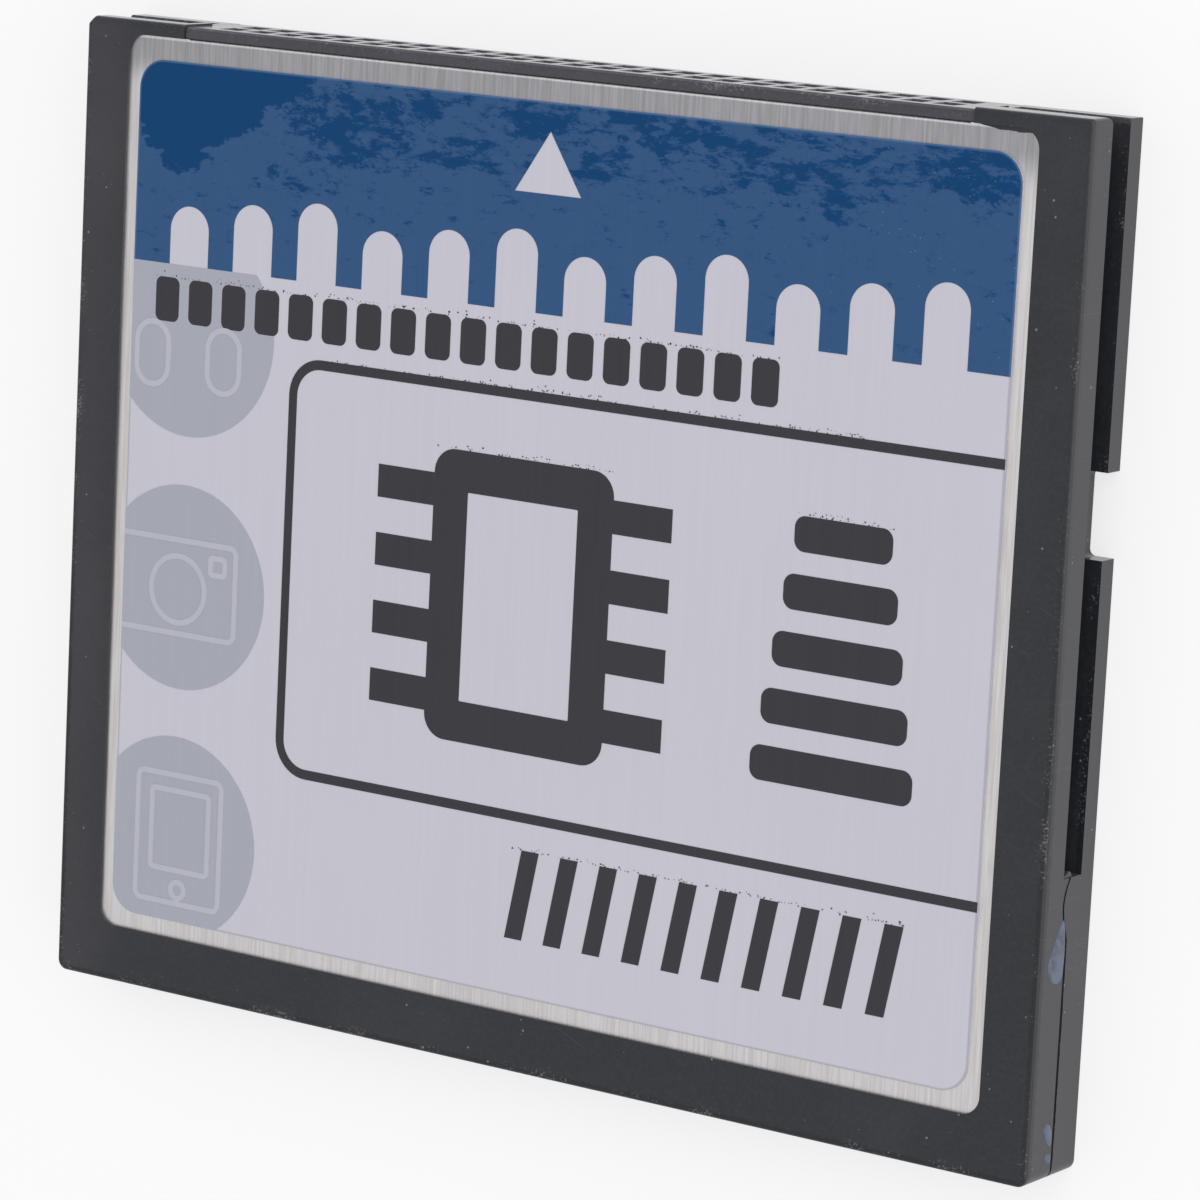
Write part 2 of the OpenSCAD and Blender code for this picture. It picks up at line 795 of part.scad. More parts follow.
// Four resistors in one body, with rounded recesses between their ends
module resistor_array(i) {
    x = (i - (ARRAYS + 1) / 2) * 2 * (array_l + part_gap / 2);
    color("DarkSlateGray") on_board(x, array_y)
        difference() {
            translate([-array_l / 2, -array_w / 2, 0]) cube([array_l, array_w, array_h]);
            for (k = [-1, 0, 1], s = [-1, 1])
                translate([k * array_l / 4, s * array_w / 2, -far]) cylinder(r = array_l / 24, h = array_h + 2 * far);
        }
}

// Label and its print

module label_plan() {
    rounded(-label_x, label_back, label_x, label_front, label_r);
}

module label() {
    color("Lavender") upright(sheet_top, label_top) label_plan();
}

// Lifts a printed plan onto the label
module print(layer) {
    upright(label_top + layer * ink_t, label_top + (layer + 1) * ink_t) children();
}

// Blue field, with an arrowhead and a row of plain bars left open in it
module label_print_blue() {
    bar_step = 2 * (label_x - label_r) / bars;
    color("SteelBlue") print(0) difference() {
        intersection() {
            label_plan();
            translate([-label_x, header_y]) square([2 * label_x, header_h]);
        }
        translate([-arrow_w / 10, label_front - arrow_gap - arrow_h])
            polygon([[-arrow_w / 2, 0], [arrow_w / 2, 0], [0, arrow_h]]);
        for (i = [0:bars - 1])
            translate([(i - (bars - 1) / 2) * bar_step, header_y]) {
                translate([-bar_w / 2, -far]) square([bar_w, bar_h + (i % 3) * bar_rise + far]);
                translate([0, bar_h + (i % 3) * bar_rise]) circle(d = bar_w);
            }
    }
}

// Height of one of the three discs, counted from the back
function disc_at(k) = disc_y + k * disc_pitch;

// Row of plain dashes under the blue field
module dash_row() {
    for (i = [0:dashes - 1])
        translate([-label_x + dash_w + i * dash_step, header_y - dash_gap - dash_h])
            rounded(0, 0, dash_w, dash_h, dash_w / 4);
}

module label_print_grey() {
    color("LightSlateGray") print(0) difference() {
        intersection() {
            label_plan();
            translate([-label_x, label_back]) square([2 * label_x, header_y - label_back]);
            for (k = [0, 1, 2])
                translate([disc_x, disc_at(k)]) circle(r = disc_r);
        }
        dash_row();
    }
}

// Outline of a rounded rectangle
module outline(x0, y0, x1, y1, r, w) {
    difference() {
        rounded(x0, y0, x1, y1, r);
        rounded(x0 + w, y0 + w, x1 - w, y1 - w, max(r - w, 0.05));
    }
}

module ring(r, w) {
    difference() {
        circle(r = r);
        circle(r = r - w);
    }
}

// Outline whose corners are given as shares of the disc's radius
module on_disc(x0, y0, x1, y1, r) {
    outline(x0 * disc_r, y0 * disc_r, x1 * disc_r, y1 * disc_r, r * disc_r, thin_w);
}

// Plain line drawings on the discs: two long rings, a lens in a box and a box in a box
module label_print_pale() {
    color("White") print(1) intersection() {
        label_plan();
        union() {
            translate([disc_x, disc_at(2)]) {
                on_disc(-0.685, -0.567, -0.242, 0.098, 0.218);
                on_disc(0.182, -0.567, 0.624, 0.098, 0.218);
            }
            translate([disc_x, disc_at(1)]) {
                on_disc(-1.04, -0.488, 0.675, 0.488, 0.104);
                translate([-0.052 * disc_r, -0.026 * disc_r]) ring(0.356 * disc_r, thin_w);
                on_disc(0.312, 0.143, 0.545, 0.364, 0.06);
            }
            translate([disc_x, disc_at(0)]) {
                on_disc(-0.478, -0.683, 0.605, 0.65, 0.104);
                on_disc(-0.3, -0.353, 0.455, 0.494, 0.065);
                translate([0.073 * disc_r, -0.52 * disc_r]) ring(0.109 * disc_r, thin_w);
            }
        }
    }
}

// Dark print: an open frame, a row of dashes, a chip, a stack of bars and slanted strokes
module label_print_charcoal() {
    lean = stroke_h * 0.18;
    color("DimGray") print(0) {
        intersection() {
            outline(-label_x + frame_in, frame_low, label_x + 2 * frame_r, frame_top, frame_r, line_w);
            translate([-label_x, label_back]) square([2 * label_x, label_front - label_back]);
        }
        dash_row();
        // chip with a row of pins on each side
        translate([drawn_x, frame_y]) {
            outline(-drawn_w / 2, -drawn_h / 2, drawn_w / 2, drawn_h / 2, 0.6 * drawn_line, drawn_line);
            for (x = [-drawn_w / 2 - pin_l, drawn_w / 2 - drawn_line / 10], k = [-1.5:1:1.5])
                translate([x, k * pin_step - pin_w / 2]) square([pin_l + drawn_line / 10, pin_w]);
        }
        for (k = [0:4])
            translate([stack_x, frame_y + (k - 2.25) * stack_step])
                rounded((k * 0.1 - 1) * stack_w / 2, 0, (1 - k * 0.1) * stack_w / 2, stack_h, stack_h / 3);
        for (i = [0:9])
            translate([stack_x + stack_w / 2 - lean - stroke_w - (9 - i) * stroke_step, label_back + stroke_up])
                polygon([[0, 0], [stroke_w, 0], [stroke_w + lean, stroke_h], [lean, stroke_h]]);
    }
}

bottom_frame();
top_frame();
bottom_panel();
top_panel();
bottom_insulator();
top_insulator();
connector_housing();
upper_contacts();
lower_contacts();
circuit_board();
flash_chip_body();
flash_chip_leads();
controller_body();
controller_leads();
crystal_base();
crystal_lid();
regulator_body();
regulator_leads();
for (i = [1:CAPS])
    capacitor(i);
for (i = [1:RESISTORS])
    resistor(i);
for (i = [1:ARRAYS])
    resistor_array(i);
label();
label_print_blue();
label_print_grey();
label_print_pale();
label_print_charcoal();
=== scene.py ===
"""Looks for a flat memory card: its materials, the small traces of its making, and a plain studio.

Every length is in millimetres until a mesh is made, and the row frame is the card's own:
X across the card, Y towards the connector end, Z towards the label.
"""

import logging
import math
import random
from dataclasses import dataclass
from enum import Enum
from typing import Any, Callable, Iterable, Optional, Sequence, Union

import bmesh
import bpy
from mathutils import Matrix, Vector, noise


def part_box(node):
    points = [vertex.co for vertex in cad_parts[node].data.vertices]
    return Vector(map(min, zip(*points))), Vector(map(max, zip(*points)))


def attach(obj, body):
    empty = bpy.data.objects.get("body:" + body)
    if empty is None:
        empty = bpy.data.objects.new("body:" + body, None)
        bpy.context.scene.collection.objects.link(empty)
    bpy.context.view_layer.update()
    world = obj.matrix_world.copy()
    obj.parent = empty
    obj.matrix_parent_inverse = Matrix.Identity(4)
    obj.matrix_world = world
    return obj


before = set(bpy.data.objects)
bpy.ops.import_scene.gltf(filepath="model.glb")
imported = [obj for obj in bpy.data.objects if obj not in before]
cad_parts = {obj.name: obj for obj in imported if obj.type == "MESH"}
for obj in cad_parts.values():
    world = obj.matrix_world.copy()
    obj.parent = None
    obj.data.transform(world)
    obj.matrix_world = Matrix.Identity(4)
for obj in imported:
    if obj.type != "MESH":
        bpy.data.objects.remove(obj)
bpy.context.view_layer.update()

LOG = logging.getLogger("memory_card")
MM = 0.001
PICTURE_PX = 1200
MIX_FACTOR, MIX_FIRST, MIX_SECOND, MIX_RESULT = 0, 6, 7, 2
Color = tuple[float, float, float]
Vec3 = tuple[float, float, float]
Point2 = tuple[float, float]
Term = Union["Value", float]
Placing = Callable[[float, float, float], Vec3]


def tone(red: float, green: float, blue: float, level: float = 1.0) -> Color:
    """Turns a colour as a screen shows it, 0 to 255, into a surface's linear colour.

    Args:
        red, green, blue: The screen colour.
        level: A factor on the linear colour.

    Returns:
        The linear colour.
    """
    linear = []
    for part in (red, green, blue):
        share = part / 255
        bright = ((share + 0.055) / 1.055) ** 2.4 if share > 0.04045 else share / 12.92
        linear.append(bright * level)
    return (linear[0], linear[1], linear[2])


def scaled(color: Color, level: float) -> Color:
    """Makes a linear colour brighter or darker, and no brighter than white.

    Args:
        color: The linear colour.
        level: The factor.

    Returns:
        The new linear colour.
    """
    red, green, blue = (min(part * level, 1.0) for part in color)
    return (red, green, blue)


# ---------------------------------------------------------------- shader maths


class Value:
    """A number or a vector on its way between shader nodes, used in ordinary arithmetic."""

    def __init__(self, graph: "Graph", socket: bpy.types.NodeSocket) -> None:
        """Wraps an output socket of the graph."""
        self.graph = graph
        self.socket = socket

    def math(self, operation: str, *terms: Term) -> "Value":
        """Adds a Math node on these terms and gives its result."""
        return self.graph.value("ShaderNodeMath", {"operation": operation}, dict(enumerate(terms)))

    def __add__(self, other: Term) -> "Value":
        """Self plus other."""
        return self.math("ADD", self, other)

    def __radd__(self, other: float) -> "Value":
        """Other plus self."""
        return self.math("ADD", other, self)

    def __sub__(self, other: Term) -> "Value":
        """Self less other."""
        return self.math("SUBTRACT", self, other)

    def __rsub__(self, other: float) -> "Value":
        """Other less self."""
        return self.math("SUBTRACT", other, self)

    def __mul__(self, other: Term) -> "Value":
        """Self times other."""
        return self.math("MULTIPLY", self, other)

    def __rmul__(self, other: float) -> "Value":
        """Other times self."""
        return self.math("MULTIPLY", other, self)

    def __gt__(self, other: Term) -> "Value":
        """1 where self is the greater, else 0."""
        return self.math("GREATER_THAN", self, other)

    def __abs__(self) -> "Value":
        """Self without its sign."""
        return self.math("ABSOLUTE", self)

    def at_least(self, other: Term) -> "Value":
        """The greater of the two."""
        return self.math("MAXIMUM", self, other)

    def at_most(self, other: Term) -> "Value":
        """The lesser of the two."""
        return self.math("MINIMUM", self, other)

    def root(self) -> "Value":
        """The square root."""
        return self.math("SQRT", self)

    def step(self, low: float, high: float) -> "Value":
        """Rises smoothly from 0 at low to 1 at high, or falls if low is the greater.

        Args:
            low: Where it is 0.
            high: Where it is 1.

        Returns:
            The step.
        """
        settings = {"interpolation_type": "SMOOTHSTEP"}
        start, end = (0.0, 1.0) if low < high else (1.0, 0.0)
        sockets = {0: self, 1: min(low, high), 2: max(low, high), 3: start, 4: end}
        return self.graph.value("ShaderNodeMapRange", settings, sockets)


class Graph:
    """The nodes of one material, measured in millimetres of the card."""

    def __init__(self, name: str) -> None:
        """Starts an empty material.

        Args:
            name: The material's name.
        """
        self.material = bpy.data.materials.new(name)
        self.material.use_nodes = True
        self.tree = self.material.node_tree
        self.tree.nodes.clear()
        place = self.value("ShaderNodeTexCoord", output="Object")
        sockets = {"Vector": place, "Scale": (1 / MM, 1 / MM, 1 / MM)}
        self.place = self.value("ShaderNodeMapping", {}, sockets)

    def add(
        self,
        kind: str,
        settings: Optional[dict[str, Any]] = None,
        sockets: Optional[dict[Union[int, str], Any]] = None,
    ) -> bpy.types.Node:
        """Adds one node.

        Args:
            kind: The node's type.
            settings: Its properties, set first.
            sockets: What goes into its inputs, by number or name: a Value is linked.

        Returns:
            The node.
        """
        node = self.tree.nodes.new(kind)
        for name, setting in (settings or {}).items():
            setattr(node, name, setting)
        for name, content in (sockets or {}).items():
            if isinstance(content, Value):
                self.tree.links.new(content.socket, node.inputs[name])
            else:
                node.inputs[name].default_value = content
        return node

    def value(
        self,
        kind: str,
        settings: Optional[dict[str, Any]] = None,
        sockets: Optional[dict[Union[int, str], Any]] = None,
        output: Union[int, str] = 0,
    ) -> Value:
        """Adds one node and gives one of its outputs.

        Args:
            kind: The node's type.
            settings: Its properties, set first.
            sockets: What goes into its inputs, by number or name.
            output: The output's number or name.

        Returns:
            The output.
        """
        return Value(self, self.add(kind, settings, sockets).outputs[output])

    def along(self, axis: int) -> Value:
        """The place along X, Y or Z (0, 1 or 2), in millimetres."""
        return self.value("ShaderNodeSeparateXYZ", {}, {0: self.place}, output=axis)

    def facing(self, axis: int) -> Value:
        """How far the surface faces along X, Y or Z, from -1 to 1."""
        normal = self.value("ShaderNodeNewGeometry", output="Normal")
        return self.value("ShaderNodeSeparateXYZ", {}, {0: normal}, output=axis)

    def cloud(
        self,
        grain: float,
        detail: float = 3.0,
        rough: float = 0.55,
        stretch: Vec3 = (1, 1, 1),
        shift: float = 0.0,
        warp: float = 0.0,
    ) -> Value:
        """Soft noise from 0 to 1.

        Args:
            grain: The size of its patches, in millimetres.
            detail: How many finer layers it has.
            rough: How strong the finer layers are.
            stretch: How many times longer the patches are along each axis.
            shift: Moves the pattern, so that two of them differ.
            warp: How far it folds over itself.

        Returns:
            The noise.
        """
        scale = tuple(1 / (grain * longer) for longer in stretch)
        moved = (shift, shift * 0.7, shift * 1.3)
        sockets = {"Vector": self.place, "Location": moved, "Scale": scale}
        sockets = {
            "Vector": self.value("ShaderNodeMapping", {}, sockets),
            "Scale": 1.0,
            "Detail": detail,
            "Roughness": rough,
            "Distortion": warp,
        }
        return self.value("ShaderNodeTexNoise", {}, sockets)

    def specks(self, spacing: float, size: float, share: float, shift: float = 0.0) -> Value:
        """Scattered small dots, 1 in a dot and 0 elsewhere.

        Args:
            spacing: The distance between places that may hold a dot, in millimetres.
            size: The dots' radius, in millimetres.
            share: The share of places that hold one.
            shift: Moves the pattern.

        Returns:
            The mask.
        """
        sockets = {"Vector": self.place, "Location": (shift,) * 3, "Scale": (1 / spacing,) * 3}
        place = self.value("ShaderNodeMapping", {}, sockets)
        cells = self.add("ShaderNodeTexVoronoi", {}, {"Vector": place, "Scale": 1.0})
        near = Value(self, cells.outputs["Distance"])
        pick = self.value("ShaderNodeSeparateColor", {}, {0: Value(self, cells.outputs["Color"])})
        edge = size / spacing
        return near.step(edge, edge * 0.5) * (pick > 1 - share)

    def streaks(
        self, width: float, length: float, turn: float, share: float, shift: float
    ) -> Value:
        """Fine scratches in the plane of the card.

        Args:
            width, length: The size of one scratch, in millimetres.
            turn: Its direction from X, in degrees.
            share: How much of the surface holds one, from 0 to 1.
            shift: Moves the pattern.

        Returns:
            The mask.
        """
        angle = (0, 0, math.radians(turn))
        sockets = {"Vector": self.place, "Location": (shift, shift, 0), "Rotation": angle}
        turned = self.value("ShaderNodeMapping", {}, sockets)
        sockets = {"Vector": turned, "Scale": (1 / length, 1 / width, 0.2)}
        place = self.value("ShaderNodeMapping", {}, sockets)
        sockets = {"Vector": place, "Scale": 1.0, "Detail": 1.0, "Roughness": 0.4}
        return self.value("ShaderNodeTexNoise", {}, sockets).step(0.78 - share, 0.86 - share)

    def mix(self, factor: Term, first: Any, second: Any) -> Value:
        """Blends two colours.

        Args:
            factor: How much of the second colour shows, from 0 to 1.
            first, second: The colours, each a Value or a linear colour.

        Returns:
            The blended colour.
        """
        ends = [end if isinstance(end, Value) else (*end, 1.0) for end in (first, second)]
        settings = {"data_type": "RGBA", "clamp_factor": True}
        sockets = {MIX_FACTOR: factor, MIX_FIRST: ends[0], MIX_SECOND: ends[1]}
        return self.value("ShaderNodeMix", settings, sockets, output=MIX_RESULT)

    def bump(self, height: Value, depth: float, under: Optional[Value] = None) -> Value:
        """A normal bent by a height map.

        Args:
            height: The map, from 0 to 1.
            depth: How high 1 stands, in millimetres.
            under: A bump that this one lies on.

        Returns:
            The normal.
        """
        sockets = {"Strength": 1.0, "Distance": depth * MM, "Height": height}
        if under is not None:
            sockets["Normal"] = under
        return self.value("ShaderNodeBump", {}, sockets)

    def finish(self, shader: Value) -> bpy.types.Material:
        """Sends a shader to the material's output and gives the material."""
        self.add("ShaderNodeOutputMaterial", {}, {0: shader})
        return self.material


# ---------------------------------------------------------------- finishes


@dataclass(frozen=True)
class Finish:
    """What one material looks like. A subclass adds the detail in its paint method."""

    name: str
    color: Color
    roughness: float = 0.5
    metallic: float = 0.0
    specular: float = 0.5

    def paint(self, graph: Graph) -> dict[str, Any]:
        """Draws soft patches over a fine grain.

        Args:
            graph: The material's nodes.

        Returns:
            What varies, by the name of the shader's socket.
        """
        cloud = graph.cloud(1.5)
        return {
            "Base Color": graph.mix(cloud, scaled(self.color, 0.85), scaled(self.color, 1.12)),
            "Roughness": cloud * 0.16 + (self.roughness - 0.08),
            "Normal": graph.bump(graph.cloud(0.05), 0.002),
        }

    def material(self) -> bpy.types.Material:
        """Makes the material, or finds it if it is made already.

        Returns:
            The material.
        """
        made = bpy.data.materials.get(self.name)
        if made:
            return made
        graph = Graph(self.name)
        sockets: dict[Union[int, str], Any] = {
            "Metallic": self.metallic,
            "Specular IOR Level": self.specular,
        }
        sockets.update(self.paint(graph))
        return graph.finish(graph.value("ShaderNodeBsdfPrincipled", {}, sockets))


@dataclass(frozen=True)
class FrameMoulding(Finish):
    """Satin dark plastic with rub marks, dust and a few hairlines, with painted light on its sides
    and on its faces towards the connector end, and painted shade along its label-side edges.
    """

    # This tone serves for rubbed patches and also for the painted light on the sides and the ends.
    rubbed_and_lit: Color = tone(71, 70, 76)
    dust: Color = tone(150, 150, 154)
    rub_edge: Point2 = (21.4, 18.2)
    side_painted_light: float = 0.4
    end_painted_light: float = 0.5
    end_gloss: float = 0.6
    left_from: Point2 = (-18.0, -21.0)
    left_lift: float = 0.34
    edge_shade_level: float = 0.55
    dusty: float = 0.62
    chafe_reach: float = 0.6

    def paint(self, graph: Graph) -> dict[str, Any]:
        """Varies the plastic by how it was handled, makes it lighter towards the left end, and
        paints light and shade on it: sides and connector-facing ends lighter, and shade along the
        label-side edges.

        Args:
            graph: The material's nodes.

        Returns:
            What varies, by the name of the shader's socket.
        """
        hazy = graph.cloud(6.0, detail=4, shift=3.0)
        grain = graph.cloud(0.14, detail=3, shift=9.0)
        # Painted light: faces that look sideways, and faces towards the connector end, are mixed
        # towards the lighter tone as if the lamps lit them.
        side = abs(graph.facing(2)).step(0.75, 0.25)
        end = graph.facing(1).step(0.5, 0.9)
        # Lighter towards the left end of the card.
        left = graph.along(0).step(*self.left_from) * self.left_lift
        # This mask holds random rubbed patches and the painted light of the sides and the ends.
        worn_and_lit = hazy.step(0.4, 0.8) * 0.22 + side * self.side_painted_light + end * self.end_painted_light + left
        color = graph.mix(worn_and_lit.at_most(1.0), self.color, self.rubbed_and_lit)
        color = graph.mix(grain.step(0.35, 0.75) * 0.18, color, self.rubbed_and_lit)
        # Painted shade: a darker line along the rounded label-side edges.
        color = graph.mix(self.edge_painted_shade(graph) * 0.8, color, scaled(self.color, self.edge_shade_level))
        color = graph.mix(self.chafing(graph) * 0.4, color, self.dust)
        fine = graph.streaks(0.03, 2.4, 24, 0.045, 2.0)
        fine = fine.at_least(graph.streaks(0.025, 1.8, -58, 0.04, 7.0))
        color = graph.mix(fine * 0.1, color, self.dust)
        dots = graph.specks(0.9, 0.055, 0.8).at_least(graph.specks(0.45, 0.024, 0.5, 5.0))
        color = graph.mix(dots * self.dusty, color, self.dust)
        soft = graph.bump(graph.cloud(1.6, detail=2, shift=1.0), 0.006)
        rough = graph.bump(grain, 0.0018, soft)
        matt = hazy * 0.12 + grain * 0.08 + (self.roughness - 0.1)
        return {
            "Base Color": color,
            "Roughness": matt * (1 - end * self.end_gloss),
            "Normal": graph.bump(fine, 0.0005, rough),
        }

    def chafing(self, graph: Graph) -> Value:
        """Gives the worn flecks along the outer edges of the label side.

        Args:
            graph: The material's nodes.

        Returns:
            The mask, 1 in a fleck.
        """
        away = self.from_edge(graph)
        band = away.step(self.chafe_reach, 0.1) * away.step(-0.02, 0.05)
        flecks = graph.cloud(0.1, detail=3, rough=0.7, shift=17.0)
        patch = graph.cloud(2.2, detail=3, rough=0.6, shift=23.0)
        return (flecks * 0.6 + patch * 0.4 + band * 0.06).step(0.625, 0.67) * band

    def edge_painted_shade(self, graph: Graph) -> Value:
        """Gives painted shade: the darker, uneven line just inside the outer edges of the label
        side, stronger towards the back.

        Args:
            graph: The material's nodes.

        Returns:
            The mask, 1 in the line.
        """
        fray = graph.cloud(0.35, detail=4, rough=0.7, shift=29.0) * 0.36 - 0.18
        on_top = (self.from_edge(graph) + fray).step(0.3, 0.16) * graph.facing(2).step(0.5, 0.8)
        on_side = (graph.along(2) + fray).step(2.92, 3.04) * graph.facing(2).step(0.9, 0.7)
        return on_top.at_least(on_side) * (graph.along(1).step(6.0, -6.0) * 0.75 + 0.25)

    def from_edge(self, graph: Graph) -> Value:
        """The distance to the nearest side of the card, in millimetres."""
        across, along = self.rub_edge
        return (across - abs(graph.along(0))).at_most(along - abs(graph.along(1)))


@dataclass(frozen=True)
class BrushedSheet(Finish):
    """Thin sheet brushed along the card's length, with a painted dim reflection that darkens it
    towards its bent front edge, and a few stains.
    """

    # This darker tone serves for the painted dim reflection by the front edge and for the stains.
    dim_reflection_and_stain: Color = tone(181, 180, 185)
    dim_reflection_from: float = 15.6
    bend_from: float = 17.54
    dim_reflection_rise: float = 1.4
    dim_reflection_share: float = 0.92
    stain_share: float = 0.16
    contrast: float = 0.15

    def paint(self, graph: Graph) -> dict[str, Any]:
        """Draws the brushing as long streaks of light and dark, with a painted dim reflection
        towards the front edge and stains in the same darker tone.

        Args:
            graph: The material's nodes.

        Returns:
            What varies, by the name of the shader's socket.
        """
        coarse = graph.cloud(0.12, detail=3, stretch=(1, 30, 1), shift=2.0)
        fine = graph.cloud(0.04, detail=2, stretch=(1, 45, 1), shift=6.0)
        stain = graph.cloud(3.0, detail=4, stretch=(0.6, 1.6, 1), shift=11.0)
        lines = coarse * 0.6 + fine * 0.4
        low, high = 1 - self.contrast, 1 + self.contrast
        mask = lines.step(0.25, 0.75)
        color = graph.mix(mask, scaled(self.color, low), scaled(self.color, high))
        mask = lines.step(0.34, 0.66)
        dim_reflection_and_stain = graph.mix(mask, scaled(self.dim_reflection_and_stain, low), scaled(self.dim_reflection_and_stain, high))
        # Painted reflection: the sheet darkens over a band towards the connector end, as if it
        # mirrored something dim, and the band stops just short of the bend, which keeps the full
        # colour.
        up = graph.along(1)
        front = up.step(self.dim_reflection_from, self.dim_reflection_from + self.dim_reflection_rise)
        front = front * up.step(self.bend_from + 0.06, self.bend_from)
        color = graph.mix(front * self.dim_reflection_share, color, dim_reflection_and_stain)
        color = graph.mix(stain.step(0.5, 0.75) * self.stain_share, color, dim_reflection_and_stain)
        return {
            "Base Color": color,
            "Roughness": lines * 0.2 + stain * 0.1 + (self.roughness - 0.15),
            "Normal": graph.bump(lines, 0.0012),
        }


@dataclass(frozen=True)
class ReflectionPatch:
    """A dark patch of the painted reflection on the blue field: its middle and half sizes, and how
    dense it is.
    """

    middle_x: float
    middle_y: float
    half_x: float
    half_y: float
    strength: float


REFLECTION_PATCH_ROWS = (
    (-8.9, 14.9, 3.0, 1.2, 0.17),
    (-6.0, 16.0, 1.7, 0.8, 0.16),
    (-10.2, 16.2, 1.8, 0.8, 0.12),
    (-4.1, 14.7, 1.9, 0.9, 0.15),
    (-0.8, 16.4, 2.0, 0.9, 0.19),
    (2.0, 14.9, 1.4, 0.9, 0.17),
    (4.8, 16.4, 2.8, 0.9, 0.19),
    (8.0, 15.6, 2.2, 1.0, 0.13),
    (10.6, 15.0, 2.4, 1.1, 0.14),
    (17.2, 16.2, 2.2, 1.1, 0.18),
    (-11.2, 13.0, 2.0, 0.9, 0.09),
    (13.5, 15.6, 2.2, 0.9, 0.1),
)
REFLECTION_PATCHES = tuple(ReflectionPatch(*row) for row in REFLECTION_PATCH_ROWS)


class ReflectionMottle(Enum):
    """Whether a print carries painted reflection: the cloudy light and dark that a glossy film
    lying unevenly would mirror.
    """

    NONE = 0
    CLOUDS = 1


@dataclass(frozen=True)
class FilmedPrint(Finish):
    """Paper or ink under a glossy film that shows the brushing of the sheet below it."""

    # The darker tone and the kind of painted reflection that a print carries.
    reflection_dark: Optional[Color] = None
    reflection_mottle: ReflectionMottle = ReflectionMottle.NONE
    ribbing: float = 0.05
    edge: Optional[Color] = None
    edge_radius: float = 1.1
    edge_width: Point2 = (0.1, 0.03)
    edge_share: float = 0.55
    dot: Color = tone(120, 150, 190)

    def paint(self, graph: Graph) -> dict[str, Any]:
        """Adds faint ribs, cloudy patches of painted reflection and the outline of the sticker.

        Args:
            graph: The material's nodes.

        Returns:
            What varies, by the name of the shader's socket.
        """
        ribs = graph.cloud(0.16, detail=3, stretch=(1, 60, 1), shift=4.0)
        wide = graph.cloud(9.0, detail=2, shift=8.0)
        dark, light = scaled(self.color, 1 - self.ribbing), scaled(self.color, 1 + self.ribbing)
        color = graph.mix(ribs * 0.7 + wide * 0.3, dark, light)
        # Painted reflection: the blue darkens in ragged cloudy patches, as if its glossy film
        # mirrored something dim.
        if self.reflection_mottle is ReflectionMottle.CLOUDS and self.reflection_dark:
            color = graph.mix(self.reflection_clouds(graph), color, self.reflection_dark)
            dots = graph.specks(0.4, 0.03, 1.0, 6.0) * graph.along(0).step(6.0, 13.0)
            color = graph.mix(dots * 0.5, color, self.dot)
        if self.edge:
            color = graph.mix(self.rim(graph), color, self.edge)
        film = graph.bump(graph.cloud(2.5, detail=3, shift=6.0), 0.004)
        return {
            "Base Color": color,
            "Roughness": ribs * 0.1 + wide * 0.08 + (self.roughness - 0.09),
            "Normal": graph.bump(ribs, 0.0008, film),
        }

    def reflection_clouds(self, graph: Graph) -> Value:
        """Ragged dark patches of painted reflection that thin out away from the connector end.

        Args:
            graph: The material's nodes.

        Returns:
            The mask, 1 in a patch.
        """
        across, up = graph.along(0), graph.along(1)
        islands = graph.cloud(0.9, 8, 0.74, (1.3, 0.62, 1), shift=2.5, warp=0.2)
        flecks = graph.cloud(0.2, detail=4, rough=0.7, stretch=(1.9, 0.6, 1), shift=5.5)
        wave = graph.cloud(1.8, detail=4, rough=0.55, shift=14.2)
        stray = graph.cloud(1.3, detail=3, rough=0.6, shift=27.0)
        grainy = (flecks - 0.5) * 0.34
        rise = (across + 16.7).at_least(0.0) * 0.62 + (-17.3 - across).at_least(0.0)
        corner = (up - rise - wave * 1.5 - 12.2 + (islands - 0.5) * 2.2).step(-0.3, 0.25) * 0.6
        near = corner
        for patch in REFLECTION_PATCHES:
            off_x = (across + wave * 3.0 - 1.5 - patch.middle_x) * (1 / patch.half_x)
            off_y = (up + stray * 2.4 - 1.2 - patch.middle_y) * (1 / patch.half_y)
            within = (off_x * off_x + off_y * off_y).step(1.6, 0.2)
            near = near.at_least(within * patch.strength)
        band = up.step(13.1, 15.0) * across.step(15.0, 11.0) * 0.05
        fall = (up - 12.2).at_most(3.4) * 0.008
        body = islands * 1.15 - 0.075 + grainy + near.at_least(band) + fall
        return body.step(0.585, 0.63) * 0.4 + body.step(0.64, 0.685) * 0.6

    def rim(self, graph: Graph) -> Value:
        """Gives the line along the sticker's cut edge.

        Args:
            graph: The material's nodes.

        Returns:
            The mask, strongest at the edge and 0 inside it.
        """
        low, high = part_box("label")
        radius = self.edge_radius
        outer, inner = self.edge_width
        off = []
        for axis in (0, 1):
            middle = (low[axis] + high[axis]) / 2 / MM
            half = (high[axis] - low[axis]) / 2 / MM
            off.append((abs(graph.along(axis) - middle) - (half - radius)).at_least(0.0))
        reach = (off[0] * off[0] + off[1] * off[1]).root()
        return reach.step(radius - outer, radius - inner) * self.edge_share


